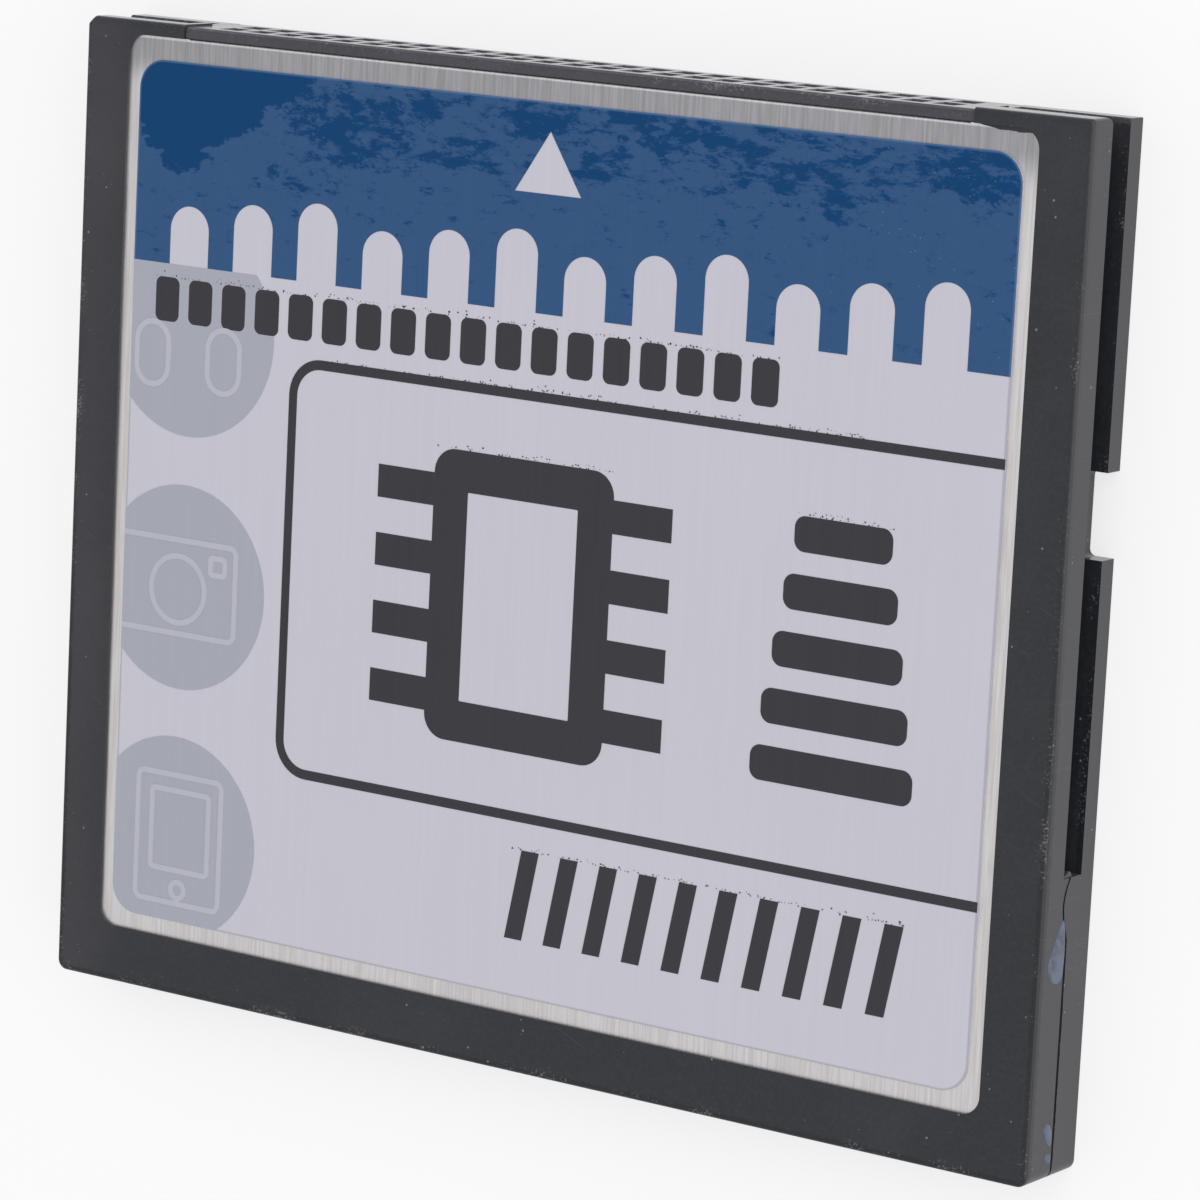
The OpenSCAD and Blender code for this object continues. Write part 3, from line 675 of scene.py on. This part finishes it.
@dataclass(frozen=True)
class SolderMask(Finish):
    """Green board with tracks that show faintly under its mask."""

    track: Color = (0.05, 0.24, 0.1)

    def paint(self, graph: Graph) -> dict[str, Any]:
        """Draws the tracks as stepped lines between the parts.

        Args:
            graph: The material's nodes.

        Returns:
            What varies, by the name of the shader's socket.
        """
        sockets = {"Vector": graph.place, "Scale": 0.9, "Randomness": 0.8}
        settings = {"distance": "CHEBYCHEV", "feature": "F1"}
        cells = graph.value("ShaderNodeTexVoronoi", settings, sockets)
        bands = (cells * 14.0).math("PINGPONG", cells * 14.0, 1.0).step(0.45, 0.6)
        return {
            "Base Color": graph.mix(bands, self.color, self.track),
            "Roughness": graph.cloud(2.0) * 0.2 + (self.roughness - 0.1),
            "Normal": graph.bump(bands, 0.02),
        }


@dataclass(frozen=True)
class DriedGlue(Finish):
    """Pale blue glue, thin at its rim."""

    thin: Color = tone(64, 68, 80)

    def paint(self, graph: Graph) -> dict[str, Any]:
        """Varies the glue from clear to cloudy.

        Args:
            graph: The material's nodes.

        Returns:
            What varies, by the name of the shader's socket.
        """
        cloudy = graph.cloud(0.45, detail=4, shift=3.0)
        return {
            "Base Color": graph.mix(cloudy.step(0.3, 0.62), self.thin, self.color),
            "Roughness": cloudy * 0.3 + (self.roughness - 0.15),
            "Normal": graph.bump(cloudy, 0.012),
        }


FRAME_PLASTIC = FrameMoulding("charcoal_moulding", tone(36, 38, 43), 0.4, specular=0.5)
SHEET = BrushedSheet("brushed_sheet", tone(249, 241, 242), 0.42, metallic=1.0)
PAPER = FilmedPrint(
    "sticker_paper", tone(203, 201, 212), 0.34, specular=0.2, edge=tone(150, 150, 158)
)
BLUE = FilmedPrint(
    "blue_print",
    tone(52, 87, 130),
    0.32,
    specular=0.15,
    # The darker blue of the painted reflection.
    reflection_dark=tone(6, 64, 113),
    reflection_mottle=ReflectionMottle.CLOUDS,
    ribbing=0.08,
    edge=tone(96, 124, 164),
)
GREY = FilmedPrint("grey_print", tone(170, 173, 184), 0.34, specular=0.2)
PALE = FilmedPrint("pale_print", tone(187, 187, 198), 0.34, specular=0.2)
CHARCOAL = FilmedPrint("charcoal_print", tone(62, 61, 66), 0.36, specular=0.12, ribbing=0.12)
# The connector's faces towards its mating end are painted lighter, as painted light, through the
# same facing mix as the frames.
SOCKET_PLASTIC = FrameMoulding(
    "socket_moulding", tone(62, 62, 69), 0.45, specular=0.5, rubbed_and_lit=tone(100, 100, 108)
)
PLATED = Finish("plated_contacts", (0.78, 0.58, 0.28), 0.3, metallic=1.0)
TINNED = Finish("tinned_leads", (0.62, 0.62, 0.6), 0.35, metallic=1.0)
COMPOUND = Finish("black_compound", (0.02, 0.02, 0.022), 0.62)
CERAMIC_TAN = Finish("tan_ceramic", (0.42, 0.3, 0.2), 0.5)
CERAMIC_BLACK = Finish("black_ceramic", (0.03, 0.03, 0.035), 0.4)
CERAMIC_BROWN = Finish("brown_ceramic", (0.2, 0.14, 0.09), 0.55)
CAN = Finish("bright_can", (0.66, 0.65, 0.62), 0.25, metallic=1.0)
FILM = Finish("amber_film", (0.42, 0.27, 0.07), 0.3)
MASK = SolderMask("green_mask", (0.02, 0.14, 0.06), 0.35)
GLUE = DriedGlue("dried_glue", tone(88, 100, 122), 0.4)
# A near-black finish for thin strips that stand in for the shade inside gaps.
PAINTED_GAP_SHADE = Finish("painted_gap_shade", (0.006, 0.006, 0.007), 0.8, specular=0.1)


def dress(finish: Finish, *nodes: str) -> None:
    """Puts a finish on every material slot of the named nodes.

    Args:
        finish: The finish.
        nodes: The nodes' names.
    """
    for name in nodes:
        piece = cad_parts[name]
        if not piece.material_slots:
            piece.data.materials.append(finish.material())
        for place in piece.material_slots:
            place.material = finish.material()
        LOG.info("dressed %s in %s", name, finish.name)


def numbered(name: str, count: int) -> list[str]:
    """The names of like nodes, numbered from 1."""
    return [f"{name}_{number}" for number in range(1, count + 1)]


# ---------------------------------------------------------------- new pieces


# How far a dome's foot is sunk into its surface, and its tip's height over its last ring's
DOME_FOOT = 0.01
DOME_TIP = 1.03


class MeshMaker:
    """Collects closed solids in millimetres and turns them into one piece of the scene."""

    def __init__(self, name: str) -> None:
        """Starts an empty piece."""
        self.name = name
        self.mesh = bmesh.new()

    def slab(self, outline: Sequence[Point2], depth: Point2, place: Placing) -> None:
        """Adds a flat slab with a given outline.

        Args:
            outline: Its corners, in order.
            depth: The heights of its two faces.
            place: Turns a corner and a height into a point of the card.
        """
        low, high = depth
        under = [self.mesh.verts.new(place(across, along, low)) for across, along in outline]
        over = [self.mesh.verts.new(place(across, along, high)) for across, along in outline]
        self.mesh.faces.new(list(reversed(under)))
        self.mesh.faces.new(over)
        for near in range(len(outline)):
            far = (near + 1) % len(outline)
            self.mesh.faces.new((under[near], under[far], over[far], over[near]))

    def dome(self, outline: Sequence[Point2], heights: Sequence[Point2], place: Placing) -> None:
        """Adds a shallow dome over an outline that is drawn about its own middle.

        Args:
            outline: Its rim, in order.
            heights: Pairs of how far out a ring lies, from 1 at the rim, and how high.
            place: Turns a point and a height into a point of the card.
        """
        rings = [
            [self.mesh.verts.new(place(x * out, y * out, height)) for x, y in outline]
            for out, height in heights
        ]
        base = [self.mesh.verts.new(place(x, y, -DOME_FOOT)) for x, y in outline]
        tip = self.mesh.verts.new(place(0.0, 0.0, heights[-1][1] * DOME_TIP))
        rings.insert(0, base)
        for lower, upper in zip(rings, rings[1:]):
            for near in range(len(outline)):
                far = (near + 1) % len(outline)
                self.mesh.faces.new((lower[near], lower[far], upper[far], upper[near]))
        for near in range(len(outline)):
            far = (near + 1) % len(outline)
            self.mesh.faces.new((rings[-1][near], rings[-1][far], tip))
        self.mesh.faces.new(list(reversed(base)))

    def piece(self, finish: Finish, slot: str, smooth: bool = False) -> bpy.types.Object:
        """Makes the object, in metres, riding on the card.

        Args:
            finish: Its finish.
            slot: The name of a material slot of the record; not used.
            smooth: Whether its faces are shaded as one surface.

        Returns:
            The object.
        """
        bmesh.ops.recalc_face_normals(self.mesh, faces=self.mesh.faces)
        bmesh.ops.scale(self.mesh, vec=(MM, MM, MM), verts=self.mesh.verts)
        data = bpy.data.meshes.new(self.name)
        self.mesh.to_mesh(data)
        self.mesh.free()
        for face in data.polygons:
            face.use_smooth = smooth
        data.materials.append(finish.material())
        thing = bpy.data.objects.new(self.name, data)
        bpy.context.scene.collection.objects.link(thing)
        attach(thing, "root")
        LOG.info("made %s with %d faces", self.name, len(data.polygons))
        return thing


def flat(across: float, along: float, up: float) -> Vec3:
    """Places one point of a strip that lies flat on the card."""
    return (across, along, up)


def wander(place: float, grain: float, seed: float) -> float:
    """A smooth random number from -1 to 1 that changes over about grain millimetres."""
    return noise.noise(Vector((place / grain, seed, seed * 0.37)))


@dataclass
class CardShell:
    """The two plastic frames and the two sheet covers."""

    sides: tuple[str, ...] = ("bottom", "top")

    def build(self) -> None:
        """Dresses the shell's nodes."""
        for side in self.sides:
            dress(FRAME_PLASTIC, f"{side}_frame")
            dress(SHEET, f"{side}_panel")


@dataclass
class SocketBlock:
    """The connector and its fifty contacts."""

    rows: tuple[str, ...] = ("upper", "lower")

    def build(self) -> None:
        """Dresses the connector's nodes."""
        dress(SOCKET_PLASTIC, "connector_housing")
        for row in self.rows:
            dress(PLATED, f"{row}_contacts")


@dataclass
class LoadedBoard:
    """The circuit board, the parts on it and the films that shield it."""

    capacitors: int = 8
    resistors: int = 6
    arrays: int = 4

    def build(self) -> None:
        """Dresses every inner node."""
        dress(MASK, "circuit_board")
        dress(COMPOUND, "flash_chip_body", "controller_body", "regulator_body")
        dress(TINNED, "flash_chip_leads", "controller_leads", "regulator_leads")
        dress(CERAMIC_TAN, *numbered("capacitor", self.capacitors))
        dress(CERAMIC_BLACK, *numbered("resistor", self.resistors))
        dress(CERAMIC_BLACK, *numbered("resistor_array", self.arrays))
        dress(CERAMIC_BROWN, "crystal_base")
        dress(CAN, "crystal_lid")
        dress(FILM, "top_insulator", "bottom_insulator")


@dataclass
class Sticker:
    """The printed label, with the stray ink above its dark shapes.

    Each edge is where a dark shape starts and ends across the card, and its place along it.
    """

    ink_height: float = 3.275
    ink_depth: Point2 = (-0.002, 0.004)
    haze_reach: float = 0.26
    haze_grain: float = 0.9
    edges: tuple[Vec3, ...] = (
        (-9.5, 13.5, 6.58),
        (-4.6, 3.1, 4.1),
        (10.7, 14.7, 3.63),
        (-17.7, 9.7, 8.86),
        (-0.6, 16.0, -10.0),
    )
    specks_per_mm: float = 9.0
    speck_sizes: Point2 = (0.012, 0.04)
    speck_corners: tuple[int, int] = (4, 6)
    seed: int = 41

    def build(self) -> None:
        """Dresses the label and scatters its stray ink."""
        dress(PAPER, "label")
        dress(BLUE, "label_print_blue")
        dress(GREY, "label_print_grey")
        dress(PALE, "label_print_pale")
        dress(CHARCOAL, "label_print_charcoal")
        self.stray_ink()

    def stray_ink(self) -> None:
        """Makes the specks that drifted off the dark print towards the connector end."""
        draw = random.Random(self.seed)
        maker = MeshMaker("stray_ink")
        depth = (self.ink_height + self.ink_depth[0], self.ink_height + self.ink_depth[1])
        for start, end, line in self.edges:
            for _ in range(int((end - start) * self.specks_per_mm)):
                across = draw.uniform(start, end)
                thick = 0.5 + 0.5 * wander(across, self.haze_grain, line)
                up = line + abs(draw.gauss(0, self.haze_reach * 0.5)) * thick
                size = draw.uniform(*self.speck_sizes)
                if draw.random() > thick * 1.4:
                    continue
                corners = draw.randint(*self.speck_corners)
                outline = []
                for number in range(corners):
                    angle = math.tau * number / corners
                    reach = size * draw.uniform(0.5, 1.2)
                    outline.append((across + reach * math.cos(angle), up + reach * math.sin(angle)))
                maker.slab(outline, depth, flat)
        maker.piece(CHARCOAL, "ink_charcoal")


@dataclass(frozen=True)
class RaggedEdge:
    """The loose edge of thin torn plastic, in millimetres.

    It creeps by reach from a straight line on the average, and that varies by swell over
    swell_grain and by fray over fray_grain. Between ends, where given, it fades out.
    """

    line: float
    reach: float
    swell: float
    swell_grain: float
    fray: float
    fray_grain: float
    seed: float
    ends: Optional[Point2] = None

    def at(self, place: float) -> float:
        """Gives the edge at one place along it.

        Args:
            place: The place along the strip.

        Returns:
            The edge's place across the strip.
        """
        out = self.reach + self.swell * wander(place, self.swell_grain, self.seed)
        out += self.fray * wander(place, self.fray_grain, self.seed + 4.0)
        if self.ends:
            start, end = self.ends
            share = min(max((place - start) / (end - start), 0.0), 1.0)
            out = max(out, 0.015) * max(math.sin(math.pi * share), 0.003) ** 0.5
        return self.line - out


@dataclass
class MouldTraces:
    """Thin ragged plastic left along the seam, over the cover's corner and at the slots' ends, and
    dark strips of painted shade in the seam's gaps.
    """

    side: float = 21.4
    back: float = -18.2
    slot_end: float = -7.6
    slot_tops: Point2 = (2.02, 2.27)
    seam_high: float = 1.65
    swell_ends: Point2 = (-7.62, -9.85)
    swell_rise: float = 0.33
    swell_foot: float = 1.55
    gap: float = 0.075
    swell_points: int = 60
    corner: float = 0.42
    sunk: float = 0.1
    flash_ends: Point2 = (17.0, 19.15)
    flash_fade: float = 21.0
    cover_face: float = 3.2
    cover_front: float = 17.67
    step: float = 0.1

    def build(self) -> None:
        """Makes every ragged trace."""
        self.seam_lip()
        self.seam_swell()
        self.open_seam_shade()
        self.corner_flash()
        self.slot_ends()

    def on_side(self, sign: int, upright: bool = False) -> Placing:
        """Gives what places a strip on a side of the card.

        Args:
            sign: 1 for the right side and -1 for the left.
            upright: Whether the strip runs up the side and not along it.

        Returns:
            What turns a place along the strip, one across it and a height into a point.
        """

        def put(along: float, across: float, out: float) -> Vec3:
            """Places one point."""
            down, up = (across, along) if upright else (along, across)
            return (sign * (self.side + out), down, up)

        return put

    def on_back(self, along: float, across: float, out: float) -> Vec3:
        """Places one point of a strip that runs along the back."""
        return (along, self.back - out, across)

    def ragged_strip(
        self,
        maker: MeshMaker,
        ends: Point2,
        fixed: float,
        loose: RaggedEdge,
        depth: Point2,
        place: Placing,
    ) -> None:
        """Adds a thin strip with one straight and one ragged edge.

        Args:
            maker: The piece it goes into.
            ends: Where the strip starts and ends along its length.
            fixed: The straight edge.
            loose: The ragged edge.
            depth: The heights of its two faces.
            place: Turns a place along, a place across and a height into a point of the card.
        """
        start, end = ends
        count = max(2, int(abs(end - start) / self.step))
        stops = [start + (end - start) * number / count for number in range(count + 1)]
        outline = [(stop, fixed) for stop in stops]
        outline += [(stop, loose.at(stop)) for stop in reversed(stops)]
        maker.slab(outline, depth, place)

    def seam_lip(self) -> None:
        """Makes a wavy lip of the upper frame over the seam round the sides and the back."""
        maker = MeshMaker("seam_lip")
        depth = (-0.12, -0.012)
        fixed = self.seam_high + 0.004
        ends = (self.slot_end - 0.1, self.back + self.corner)
        for sign, seed in ((1, 1.0), (-1, 21.0)):
            loose = RaggedEdge(self.seam_high, 0.015, 0.02, 0.5, 0.015, 0.13, seed)
            self.ragged_strip(maker, ends, fixed, loose, depth, self.on_side(sign))
        loose = RaggedEdge(self.seam_high, 0.02, 0.02, 0.5, 0.015, 0.13, 31.0)
        ends = (-self.side + self.corner, self.side - self.corner)
        self.ragged_strip(maker, ends, fixed, loose, depth, self.on_back)
        maker.piece(FRAME_PLASTIC, "frame_plastic")

    def seam_swell(self) -> None:
        """Makes the lip that swelled up over the right side's seam, and a dark strip above it as
        painted shade in the gap.
        """
        start, end = self.swell_ends
        edge = []
        for number in range(self.swell_points + 1):
            share = number / self.swell_points
            along = start + (end - start) * share
            rise = self.swell_rise * math.sin(math.pi * share**0.8) ** 1.3
            edge.append((along, self.swell_foot + rise + 0.02 * wander(along, 0.12, 3.0)))
        foot = [(along, self.seam_high - 0.14) for along, _ in reversed(edge)]
        over = [(along, height + self.gap) for along, height in reversed(edge)]
        for name, outline, out, finish in (
            ("seam_swell", edge + foot, 0.014, FRAME_PLASTIC),
            ("seam_gap", edge + over, 0.004, PAINTED_GAP_SHADE),
        ):
            maker = MeshMaker(name)
            maker.slab(outline, (-self.sunk, out), self.on_side(1))
            maker.piece(finish, "frame_plastic")

    def open_seam_shade(self) -> None:
        """Makes an uneven dark strip, painted shade, where the right side's seam stands open."""
        maker = MeshMaker("seam_open_shade")
        ends = (self.swell_ends[1] + 0.25, self.back + self.corner)
        loose = RaggedEdge(self.seam_high - 0.1, 0.045, 0.035, 0.6, 0.03, 0.15, 51.0, ends)
        depth = (-self.sunk, 0.003)
        self.ragged_strip(maker, ends, self.seam_high, loose, depth, self.on_side(1))
        maker.piece(PAINTED_GAP_SHADE, "frame_plastic")

    def corner_flash(self) -> None:
        """Makes the plastic that crept over the cover beside the connector."""
        maker = MeshMaker("corner_flash")
        start, end = self.flash_ends
        line = self.cover_front + 0.01
        loose = RaggedEdge(line, 0.16, 0.05, 0.5, 0.025, 0.1, 2.0, (start, self.flash_fade))
        depth = (self.cover_face - 0.01, self.cover_face + 0.03)
        fixed = self.cover_front + 0.018
        self.ragged_strip(maker, (start, end), fixed, loose, depth, flat)
        maker.piece(FRAME_PLASTIC, "frame_plastic")

    def slot_ends(self) -> None:
        """Makes the torn edges where the guide slots end."""
        maker = MeshMaker("slot_end_flash")
        for sign, top in zip((1, -1), self.slot_tops):
            loose = RaggedEdge(self.slot_end, -0.14, 0.16, 0.28, 0.05, 0.1, top)
            ends = (top - 0.62, top - 0.02)
            fixed = self.slot_end - 0.2
            place = self.on_side(sign, upright=True)
            self.ragged_strip(maker, ends, fixed, loose, (-0.2, -0.06), place)
        maker.piece(FRAME_PLASTIC, "frame_plastic")


@dataclass
class GlueTraces:
    """Drops of pale glue that came out of the seam on the right side."""

    side: float = 21.4
    drops: tuple[tuple[Point2, ...], ...] = (
        (
            (-8.9, 1.78),
            (-9.3, 2.08),
            (-9.9, 2.42),
            (-10.4, 2.76),
            (-10.9, 2.66),
            (-11.25, 2.2),
            (-11.2, 1.72),
            (-10.5, 1.63),
            (-9.7, 1.64),
        ),
        (
            (-16.1, 2.22),
            (-16.5, 2.3),
            (-16.95, 1.9),
            (-17.0, 1.68),
            (-16.5, 1.7),
            (-16.2, 1.85),
        ),
        ((-17.2, 2.05), (-17.45, 2.1), (-17.6, 1.85), (-17.55, 1.67), (-17.25, 1.7)),
    )
    heights: tuple[Point2, ...] = (
        (1.0, 0.003),
        (0.94, 0.012),
        (0.8, 0.02),
        (0.55, 0.026),
        (0.25, 0.029),
    )
    rounds: int = 3
    cut: float = 0.25

    def build(self) -> None:
        """Makes the drops as one piece."""
        maker = MeshMaker("glue_drops")
        for corners in self.drops:
            outline = self.soften(corners)
            middle_y = sum(along for along, _ in outline) / len(outline)
            middle_z = sum(up for _, up in outline) / len(outline)
            maker.dome(
                [(along - middle_y, up - middle_z) for along, up in outline],
                self.heights,
                lambda y, z, out, at=middle_y, high=middle_z: (self.side + out, at + y, high + z),
            )
        maker.piece(GLUE, "label_paper", smooth=True)

    def soften(self, corners: Sequence[Point2]) -> list[Point2]:
        """Rounds an outline by cutting its corners a few times over.

        Args:
            corners: The outline, in order.

        Returns:
            The rounder outline.
        """
        outline = list(corners)
        for _ in range(self.rounds):
            softer: list[Point2] = []
            for near, far in zip(outline, outline[1:] + outline[:1]):
                for share in (self.cut, 1 - self.cut):
                    along = near[0] * (1 - share) + far[0] * share
                    softer.append((along, near[1] * (1 - share) + far[1] * share))
            outline = softer
        return outline


# ---------------------------------------------------------------- studio


@dataclass(frozen=True)
class Lamp:
    """A square soft lamp that looks at the card."""

    name: str
    place: Vec3
    size: float
    watts: float


@dataclass
class Studio:
    """White floor, white surroundings and soft lamps, in metres but for the floor's drop."""

    floor_half: float = 3.0
    floor_tone: float = 0.96
    floor_glow: float = 0.7
    floor_drop: float = 0.02
    floor_shift: float = 0.6
    around: float = 0.6
    lamps: tuple[Lamp, ...] = (
        Lamp("lamp_over", (0.45, 0.5, 0.8), 1.1, 4.6),
        Lamp("lamp_right", (0.9, -0.1, 0.35), 0.8, 2.7),
    )

    def build(self) -> None:
        """Sets up the surroundings, the floor and the lamps."""
        scene = bpy.context.scene
        scene.view_settings.view_transform = "Standard"
        world = bpy.data.worlds.new("white_room")
        world.use_nodes = True
        ground = world.node_tree.nodes["Background"]
        ground.inputs["Color"].default_value = (1, 1, 1, 1)
        ground.inputs["Strength"].default_value = self.around
        scene.world = world
        self.lay_floor()
        for lamp in self.lamps:
            self.hang(lamp)

    def lay_floor(self) -> None:
        """Lays the floor under the card, white but for a shadow, and clear from below."""
        size, off, down = self.floor_half, self.floor_shift, self.floor_drop * MM
        signs = ((-1, -1), (1, -1), (1, 1), (-1, 1))
        corners = [(x * size + off, y * size - off, -down) for x, y in signs]
        data = bpy.data.meshes.new("floor")
        data.from_pydata(corners, [], [(0, 1, 2, 3)])
        data.materials.append(self.floor_white())
        floor = bpy.data.objects.new("floor", data)
        bpy.context.scene.collection.objects.link(floor)

    def floor_white(self) -> bpy.types.Material:
        """Makes the floor's material: paint and a white glow for what looks straight at it.

        Returns:
            The material.
        """
        graph = Graph("floor_white")
        white = (1.0, 1.0, 1.0, 1.0)
        painted = (self.floor_tone,) * 3 + (1.0,)
        paint = graph.value("ShaderNodeBsdfDiffuse", {}, {"Color": painted})
        glow = graph.value("ShaderNodeEmission", {}, {"Color": white, "Strength": 1.0})
        path = graph.add("ShaderNodeLightPath")
        seen = Value(graph, path.outputs["Is Camera Ray"])
        for ray in ("Is Glossy Ray", "Is Transmission Ray"):
            seen = seen.at_least(Value(graph, path.outputs[ray]))
        sockets = {0: seen * self.floor_glow, 1: paint, 2: glow}
        above = graph.value("ShaderNodeMixShader", {}, sockets)
        clear = graph.value("ShaderNodeBsdfTransparent")
        under = graph.value("ShaderNodeNewGeometry", output="Backfacing")
        both = graph.value("ShaderNodeMixShader", {}, {0: under, 1: above, 2: clear})
        return graph.finish(both)

    def hang(self, lamp: Lamp) -> None:
        """Hangs one lamp, aimed at the card.

        Args:
            lamp: The lamp.
        """
        data = bpy.data.lights.new(lamp.name, "AREA")
        data.size = lamp.size
        data.energy = lamp.watts
        thing = bpy.data.objects.new(lamp.name, data)
        thing.location = lamp.place
        aim = -Vector(lamp.place)
        thing.rotation_euler = aim.to_track_quat("-Z", "Y").to_euler()
        bpy.context.scene.collection.objects.link(thing)
        LOG.info("hung %s", lamp.name)


@dataclass
class PictureCamera:
    """The camera of the picture, placed in the card's own frame."""

    place: Vec3 = (109.2909, 33.3034, 160.8806)
    right: Vec3 = (0.82261639, 0.04919042, -0.56646498)
    down: Vec3 = (0.1391425, -0.98337581, 0.11666782)
    ahead: Vec3 = (-0.55130902, -0.17479221, -0.81578554)
    focal_px: float = 5478.6
    sensor: float = 36.0
    clip: Point2 = (0.01, 50.0)

    def build(self) -> None:
        """Makes the camera and gives it to the scene."""
        data = bpy.data.cameras.new("picture_camera")
        data.sensor_fit = "HORIZONTAL"
        data.sensor_width = self.sensor
        data.lens = self.focal_px * self.sensor / PICTURE_PX
        data.clip_start, data.clip_end = self.clip
        camera = bpy.data.objects.new("picture_camera", data)
        axes = (Vector(self.right), -Vector(self.down), -Vector(self.ahead))
        turn = Matrix(axes).transposed().to_4x4()
        camera.matrix_world = Matrix.Translation(Vector(self.place) * MM) @ turn
        bpy.context.scene.collection.objects.link(camera)
        bpy.context.scene.camera = camera
        LOG.info("camera at %s", [round(part, 3) for part in self.place])


def main() -> None:
    """Builds the scene, one sub-assembly after another."""
    logging.basicConfig(level=logging.INFO, format="%(name)s: %(message)s")
    parts = (
        PictureCamera(),
        CardShell(),
        SocketBlock(),
        LoadedBoard(),
        Sticker(),
        MouldTraces(),
        GlueTraces(),
        Studio(),
    )
    for part in parts:
        part.build()
        LOG.info("built %s", type(part).__name__)


if __name__ == "__main__":
    main()
